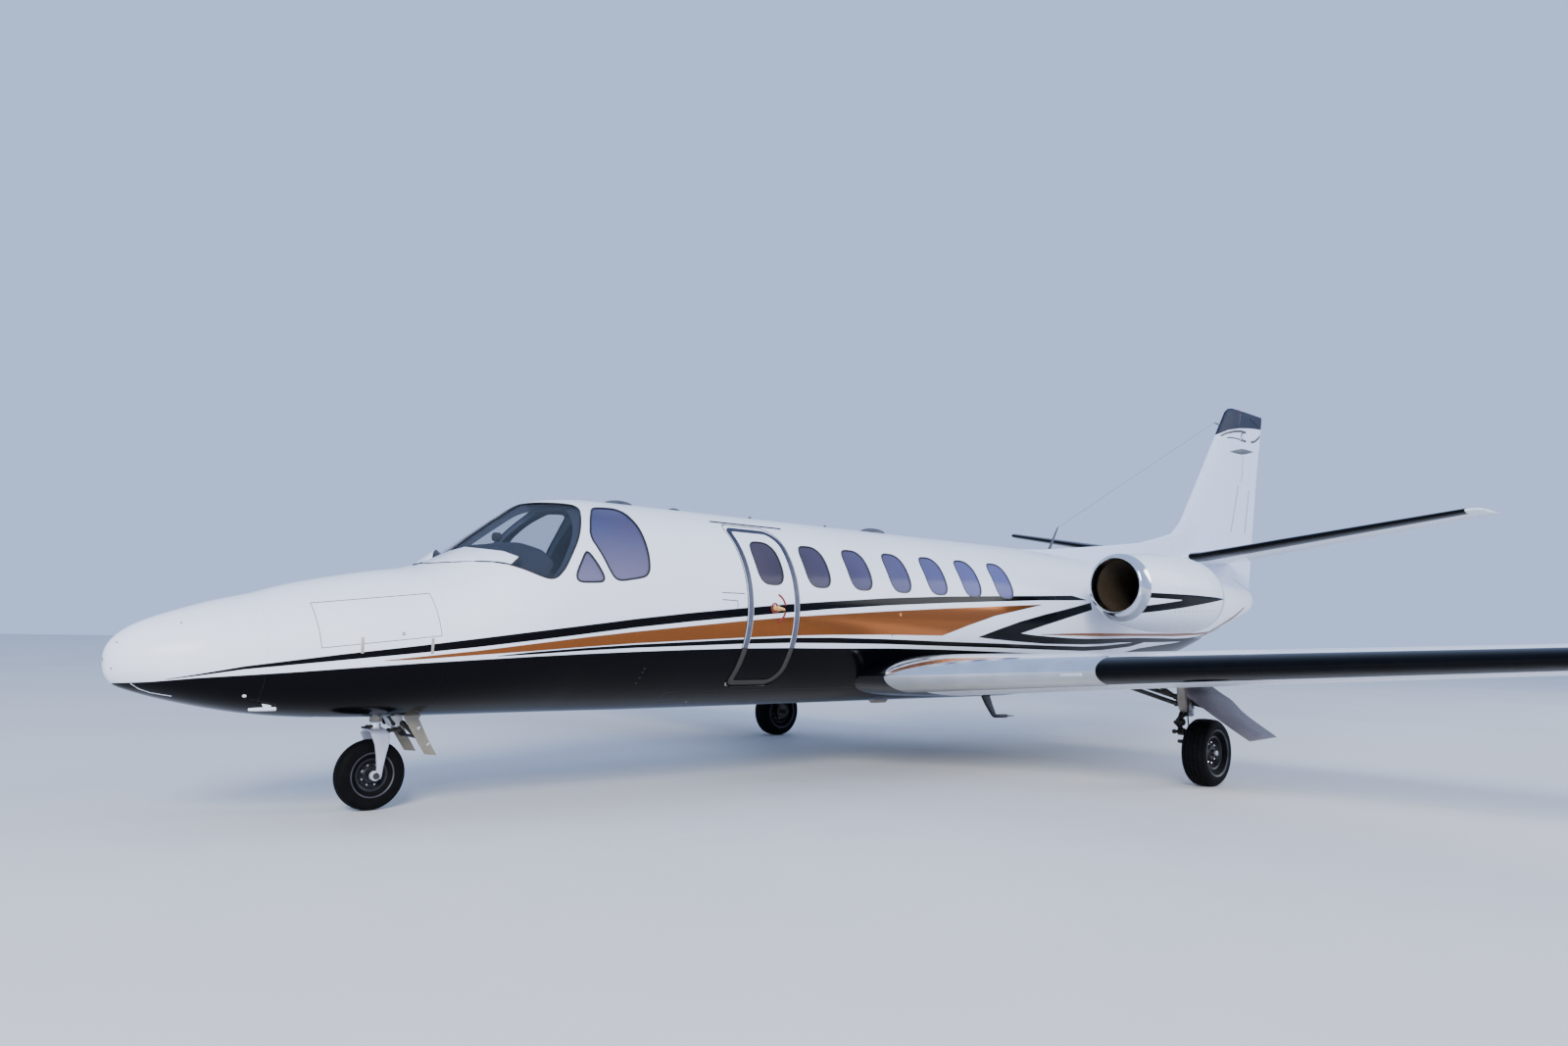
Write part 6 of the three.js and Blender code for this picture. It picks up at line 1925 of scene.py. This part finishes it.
# Flight deck: a padded black glare shield over a grey panel with three dark screens, two control yokes,
# and a pedestal with its levers between the seats.
shield_vinyl = worn_material(  # black, so that it throws no glare
    "glare_shield_vinyl", "#1b1c1f", ("#161719", "#232428"), (0.78, 0.92), (0.3, 0.001), 320, Roughness=0.85,
)
hood_vinyl = worn_material(  # navy and matt, with no image in the windshield
    "navy_hood_vinyl", "#151a2b", ("#111626", "#1b2136"), (0.68, 0.82), (0.3, 0.001), 320, Roughness=0.75,
)
panel_paint = worn_material(  # mid grey and matt
    "panel_enamel", "#4c4f54", ("#44474c", "#56595e"), (0.48, 0.65), (0.1, 0.0005), 210, Roughness=0.55,
)
screen_glass = worn_material(  # near black with a clean gloss
    "screen_glass", "#0d1016", ("#0a0d12", "#131821"), (0.08, 0.18), (0.02, 0.0005), 30, Roughness=0.12,
    Coat_Weight=0.5,
)
shield = hull_solid(2.0, 2.7, -0.088)
carve(
    shield, box_between((nose_tip - 2.52, -0.7, 1.545), (nose_tip - 2.12, 0.7, 1.59)),
    "INTERSECT"
)
rounded_edges(shield, 0.012, 3, 40)
finish(shield, shield_vinyl, replaces=("instrument_panel",), slot="dark_plastic", angle=40)
hood_section = (
    (2.2, 1.70), (2.3, 1.775), (2.45, 1.80), (2.6, 1.81), (2.7, 1.79), (2.79, 1.768), (2.877, 1.70),
    (2.79, 1.60), (2.3, 1.585)
)
hood_outline = [(s, z) for s, z in softened([Vector(point) for point in hood_section])]
rings = [[at(s - 0.55 * abs(y), y, z - 0.18 * y * y) for s, z in hood_outline]
         for y in (-0.62, -0.5, -0.4, -0.3, -0.2, -0.1, 0, 0.1, 0.2, 0.3, 0.4, 0.5, 0.62)]
hood = loft("glare_shield_hood", rings, ends=True)
carve(hood, hull_solid(1.8, 3.2, -0.088), "INTERSECT")
finish(hood, hood_vinyl, slot="dark_plastic", angle=40)
compass = [
    barrel(((0, 0.022), (0.1, 0.031), (0.9, 0.033), (1, 0.026)), at(2.394, 0, 1.845),
           at(2.45, 0, 1.845), 32),
    strut((2.42, 0, 1.795), (2.42, 0, 1.83), 0.01),
]
finish(joined("standby_compass", *compass), shield_vinyl, slot="dark_plastic", angle=40)
panel = hull_solid(2.0, 2.7, -0.088)
carve(
    panel, box_between((nose_tip - 2.47, -0.7, 1.13), (nose_tip - 2.33, 0.7, 1.544)),
    "INTERSECT"
)
finish(panel, panel_paint, slot="dark_plastic", angle=40)
screens = []
for y, half in ((-0.4, 0.13), (-0.14, 0.1), (0.14, 0.1), (0.4, 0.13)):
    screens.append(deck_box(2.468, 2.476, y - half, y + half, 1.33, 1.50, 0.003, 2))
finish(joined("panel_screens", *screens), screen_glass, slot="dark_plastic", angle=40)
controls = []
for side in (1, -1):
    y = side * 0.325
    controls.append(strut((2.46, y, 1.24), (2.64, y, 1.24), 0.016, 0.004))
    controls.append(deck_box(2.635, 2.665, y - 0.05, y + 0.05, 1.215, 1.265, 0.01))
    for hand in (1, -1):
        grip = y + hand * 0.115
        controls.append(strut((2.65, grip, 1.22), (2.65, grip + hand * 0.012, 1.345), 0.015))
        controls.append(strut((2.65, y + hand * 0.04, 1.235), (2.65, grip, 1.235), 0.013))
pedestal = deck_box(2.56, 3.0, -0.11, 0.11, seat_base, seat_base + 0.32, 0.02)
pedestal_foot = deck_box(2.9, 3.1, -0.06, 0.06, seat_base, seat_base + 0.04, 0.006)
cross_tie = deck_box(3.06, 3.14, -0.34, 0.34, seat_base, seat_base + 0.03, 0.006)
for y in (-0.04, 0.04):
    controls.append(strut((2.74, y, seat_base + 0.31), (2.70, y, seat_base + 0.42), 0.007))
    controls.append(deck_box(2.68, 2.72, y - 0.018, y + 0.018, seat_base + 0.41, seat_base + 0.435, 0.006))
finish(joined("flight_controls", *controls), shield_vinyl, slot="dark_plastic", angle=50)
finish(
    joined("flight_deck_pedestal", pedestal, pedestal_foot, cross_tie), panel_paint, slot="dark_plastic",
    angle=40
)


# Small fittings on the skin: screws, latches, ports and lamps, each set flush in the skin or standing
# a little proud of it.
def stud(name, s, z, radius, proud, side=1, sides=24):
    """A round fitting on the fuselage's side."""
    place = on_side(s, z, side)
    out = hull_depth(place)[1]
    return barrel(
        ((0, radius), (0.8, radius), (1, radius * 0.8)), place - out * 0.003, place + out * proud,
        sides, name
    )


fitting_steel = worn_material(  # plated grey with a dull shine
    "dull_steel_fitting", "#7c7f86", ("#70737a", "#8b8e95"), (0.28, 0.45), (0.05, 0.0005), 160,
    Metallic=0.9, Roughness=0.35,
)
amber_glass = worn_material(  # deep amber with a clean gloss
    "amber_lens", "#d07a24", ("#c46f1c", "#dd8a35"), (0.1, 0.2), (0.02, 0.0005), 80, Roughness=0.15,
)
red_glass = worn_material(  # deep red with a clean gloss
    "red_lens", "#a81f1c", ("#9a1a17", "#b82a26"), (0.08, 0.18), (0.02, 0.0005), 80, Roughness=0.12,
)
green_glass = worn_material(  # deep green with a clean gloss
    "green_lens", "#1e7a45", ("#1a6e3d", "#27894f"), (0.08, 0.18), (0.02, 0.0005), 80, Roughness=0.12,
)

screws = []
ports = []
whites = []
for side in (1, -1):
    for s, z in ((0.342, 1.191), (0.049, 1.073), (0.029, 0.926)):
        screws.append(stud("screw", s, z, 0.006, 0.0006, side))
    for s, z in ((3.28, 0.929), (3.28, 0.901), (3.28, 0.861), (3.28, 0.82)):
        ports.append(stud("static_port", s, z, 0.008, 0.0008, side))
    path = [
        at(s, side * y, z)
        for s, y, z in (
            (0.122, 0.123, 0.845), (0.17, 0.112, 0.81), (0.225, 0.115, 0.787), (0.28, 0.135, 0.776),
            (0.33, 0.151, 0.771)
        )
    ]
    whites.append(bead("nose_strap", [point - hull_depth(point)[1] * hull_depth(point)[0] for point in path],
                       0.007, 0.0012, closed=False))
    whites.append(stud("drain", 0.671, 0.773, 0.012, 0.001, side))
screws.append(stud("door_side_screw", 5.801, 1.201, 0.008, 0.0008))
finish(joined("skin_screws", *screws), fitting_steel, slot="steel", angle=40)
finish(joined("static_ports", *ports), sealant, slot="tyre", angle=40)
finish(joined("nose_bond_strips", *whites), white_gloss, slot="white_paint", angle=50)
finish(stud("wing_inspection_lamp", 5.881, 1.384, 0.014, 0.004), amber_glass, slot="glass", angle=50)
finish(stud("belly_drain", 3.938, 0.656, 0.012, 0.001), fitting_steel, slot="steel", angle=40)

latch_metal = worn_material(  # grey-brown, rubbed by hands
    "cast_latch", "#a9a098", ("#9c938b", "#b8afa7"), (0.35, 0.5), (0.05, 0.0005), 160, Metallic=0.4,
    Roughness=0.4,
)
for side, word in both_sides:
    latches = []
    for s in (1.262, 1.672):
        path = [on_side(s, z, side) for z in (1.125, 1.10, 1.075, 1.05, 1.028)]
        latches.append(bead("bay_latch", path, 0.018, 0.003, closed=False))
    latches.append(stud("bay_lock", 1.496, 1.15, 0.012, 0.0016, side))
    finish(
        joined(f"nose_bay_latches_{word}", *latches), latch_metal, f"nose_bay_door_{word}", slot="steel",
        angle=50
    )

# The pitot tubes stand on short masts under the nose.
masts = []
for side in (1, -1):
    root = at(0.80, side * 0.29, 0.745)
    foot = at(0.815, side * 0.297, 0.692)
    mast = loft(
        "pitot_mast",
        [
            [
                base + Vector((dx, dy, 0))
                for dx, dy in ((-wide, -0.006), (wide, -0.006), (wide, 0.006), (-wide, 0.006))
            ]
            for base, wide in ((root, 0.030), (foot, 0.020))
        ],
        ends=True
    )
    rounded_edges(mast, 0.002)
    masts.append(mast)
    masts.append(barrel(((0, 0.005), (0.02, 0.008), (0.3, 0.011), (0.97, 0.012), (1, 0.006)),
                        foot + Vector((0.11, 0, 0)), foot + Vector((-0.05, 0, 0)), 24))
finish(joined("pitot_tubes", *masts), white_gloss, slot="steel", angle=40)


# Aerials: two short blades and three low domes on the roof, a mast on the fin's fillet with a wire to the
# fin, and two under the belly.
def blade_aerial(name, root, chord, tip_chord, height, sweep, thick, up_way=1):
    """A blade aerial: an airfoil-like plate that rises from its root and sweeps aft."""
    rings = []
    for share in (0, 0.15, 0.5, 0.85, 0.97, 1.0):
        width = chord + (tip_chord - chord) * share
        fat = thick * (1 - 0.35 * share) * (0.4 if share == 1.0 else 1)
        front = root[0] + sweep * share
        rings.append([
            at(front + width * (0.5 - 0.5 * math.cos(a)), root[1] + fat / 2 * math.sin(a),
                     root[2] + up_way * height * share)
            for a in turns(28)
        ])
    return loft(name, rings, ends=True)


aerial_paint = worn_material(  # dark grey-blue and dull
    "aerial_enamel", "#3f434e", ("#383c47", "#4a4e5a"), (0.38, 0.55), (0.1, 0.0005), 160, Roughness=0.45,
)


def low_dome(s, long, half, high):
    """A low oval dome on the roof's middle line."""
    dome = barrel(
        [(0, 1)] + [(math.sin(a), math.cos(a)) for a in (math.pi / 2 * k / 8 for k in range(1, 9))],
        Vector((0, 0, 0)), Vector((0, 0, 1)), 40
    )
    dome.data.transform(Matrix.Translation((nose_tip - s, 0, top_at(s, 0) - 0.004))
                        @ Matrix.Diagonal((long / 2, half, high + 0.004, 1)))
    return dome


aerials = [
    blade_aerial("roof_stub_front", (4.81, 0, 2.168), 0.04, 0.026, 0.027, 0.006, 0.022),
    blade_aerial("roof_stub_rear", (5.73, 0, 2.168), 0.04, 0.026, 0.027, 0.006, 0.022),
    low_dome(6.395, 0.33, 0.075, 0.045),
    low_dome(3.46, 0.27, 0.06, 0.034),
    low_dome(4.005, 0.12, 0.045, 0.022),
]
finish(joined("roof_aerials", *aerials), aerial_paint, slot="dark_plastic", angle=50)

# A long-range aerial wire is stretched from a short mast on the fillet to a stub on the fin's front edge.
mast_foot, mast_tip, wire_end = at(9.318, 0, 2.2), at(9.532, 0, 2.479), at(13.38, 0, 4.24)
mast = barrel(
    ((0, 0.02), (0.1, 0.017), (0.9, 0.009), (1, 0.006)), mast_foot - Vector((0, 0, 0.05)),
    mast_tip, 24
)
stub = barrel(((0, 0.004), (0.2, 0.009), (1, 0.012)), wire_end, at(13.6, 0, 4.235), 20)
wire = barrel(
    ((0, 0.0018), (1, 0.0018)), mast_tip - Vector((0.004, 0, 0.004)),
    wire_end + Vector((0.004, 0, 0)), 8
)
finish(joined("wire_aerial", mast, stub, wire), aerial_paint, slot="steel", angle=40)

belly_mast = [
    loft(
        "belly_mast_post",
        [
            oval(at(middle, 0, z), Vector((-half, 0, 0)), Vector((0, fat, 0)), 24)
            for middle, half, fat, z in (
                (8.165, 0.08, 0.014, 0.62), (8.24, 0.066, 0.012, 0.5), (8.33, 0.046, 0.01, 0.385),
                (8.36, 0.034, 0.008, 0.36)
            )
        ],
        ends=True
    ),
    barrel(
        ((0, 0.008), (0.06, 0.018), (0.6, 0.02), (0.7, 0.008), (1, 0.004)),
        at(8.33, 0, 0.376), at(8.687, 0, 0.369), 24
    ),
]
finish(joined("belly_mast_aerial", *belly_mast), ink, slot="black_paint", angle=50)
finish(blade_aerial("belly_marker_aerial", (6.36, 0, 0.598), 0.30, 0.2, 0.035, 0.05, 0.06, -1), leg_enamel,
       slot="steel", angle=50)

# A scoop stands each side at the foot of the windshield and blows air over it: a white plate over a
# dark throat.
scoop_foot = ((1.86, 0.01), (1.88, 0.14), (1.95, 0.27), (2.04, 0.39), (2.13, 0.49), (2.215, 0.57))
scoop_lip = (
    (1.95, 0.03, 1.662), (2.0, 0.12, 1.712), (2.065, 0.22, 1.741), (2.15, 0.35, 1.713), (2.22, 0.46, 1.688),
    (2.285, 0.552, 1.668)
)
plates = []
throats = []
for side in (1, -1):
    plate_rings = []
    throat_rings = []
    for (s, y), (t, w, z) in zip(scoop_foot, scoop_lip):
        foot = at(s, side * y, top_at(s, y))
        skin = at(t, side * w, top_at(t, w))
        out = hull_depth(foot)[1]
        lip = at(t, side * w, max(z, skin.z + 0.004))
        aft = Vector((-0.006, 0, 0))
        plate_rings.append([foot + out * 0.003, lip, lip + aft, foot - out * 0.006 + aft])
        throat_rings.append(
            [
                foot + out * 0.004 + aft, lip + aft * 1.6 - out * 0.001, skin + aft * 5 - out * 0.004,
                foot - out * 0.007 + aft * 2
            ]
        )
    plates.append(loft("scoop", plate_rings, ends=True))
    throats.append(loft("scoop_throat", throat_rings, ends=True))
finish(joined("windshield_scoops", *plates), white_gloss, slot="white_paint", angle=60)
finish(joined("windshield_scoop_throats", *throats), sealant, slot="tyre", angle=60)

# Wing-tip and beacon lights, the light strip on the fin, and the stall strips on the wings.
for side, word, lens in ((1, "left", red_glass), (-1, "right", green_glass)):
    tip = barrel(((0, 0.012), (0.3, 0.026), (0.7, 0.026), (1, 0.012)),
                 at(6.76, side * 7.885, 1.302), at(6.90, side * 7.925, 1.304), 32,
                 f"navigation_light_{word}")
    finish(tip, lens, slot="glass", angle=60)
    rows = []
    for y in (2.2, 2.38):
        _, front, rear, height, thickness = row_at(wing_rows, y)
        rows.append([at(front + ds, side * y, height + dz)
                     for ds, dz in ((-0.014, -0.022), (0.008, -0.036), (0.012, -0.012))])
    strip = loft(f"stall_strip_{word}", rows, ends=True)
    finish(strip, white_gloss, slot="white_paint", angle=20)
    rings = []
    for k in range(15):
        share = k / 14
        s = 13.707 + 0.844 * share
        middle = 3.87 + 0.103 * share
        half = 0.042 * (1 - abs(2 * share - 1) ** 1.4) + 0.0006
        proud = 0.005 * math.sin(math.pi * share) + 0.0004
        rings.append([on_fin(s, middle + half * math.cos(a), side, proud * math.sin(a))
                      for a in turns(16)])
    strip = loft(f"fin_light_strip_{word}", rings, ends=True)
    finish(strip, aerial_paint, slot="dark_plastic", angle=60)
beacon = barrel(((0, 0.03), (0.3, 0.034), (0.7, 0.026), (1, 0.006)), at(14.15, 0, 4.50),
                at(14.15, 0, 4.535), 32, "fin_beacon")
beacon.data.transform(Matrix.Translation((nose_tip - 14.15, 0, 0)) @ Matrix.Diagonal((3.4, 0.7, 1, 1))
                      @ Matrix.Translation((14.15 - nose_tip, 0, 0)))
finish(beacon, red_glass, slot="glass", angle=60)
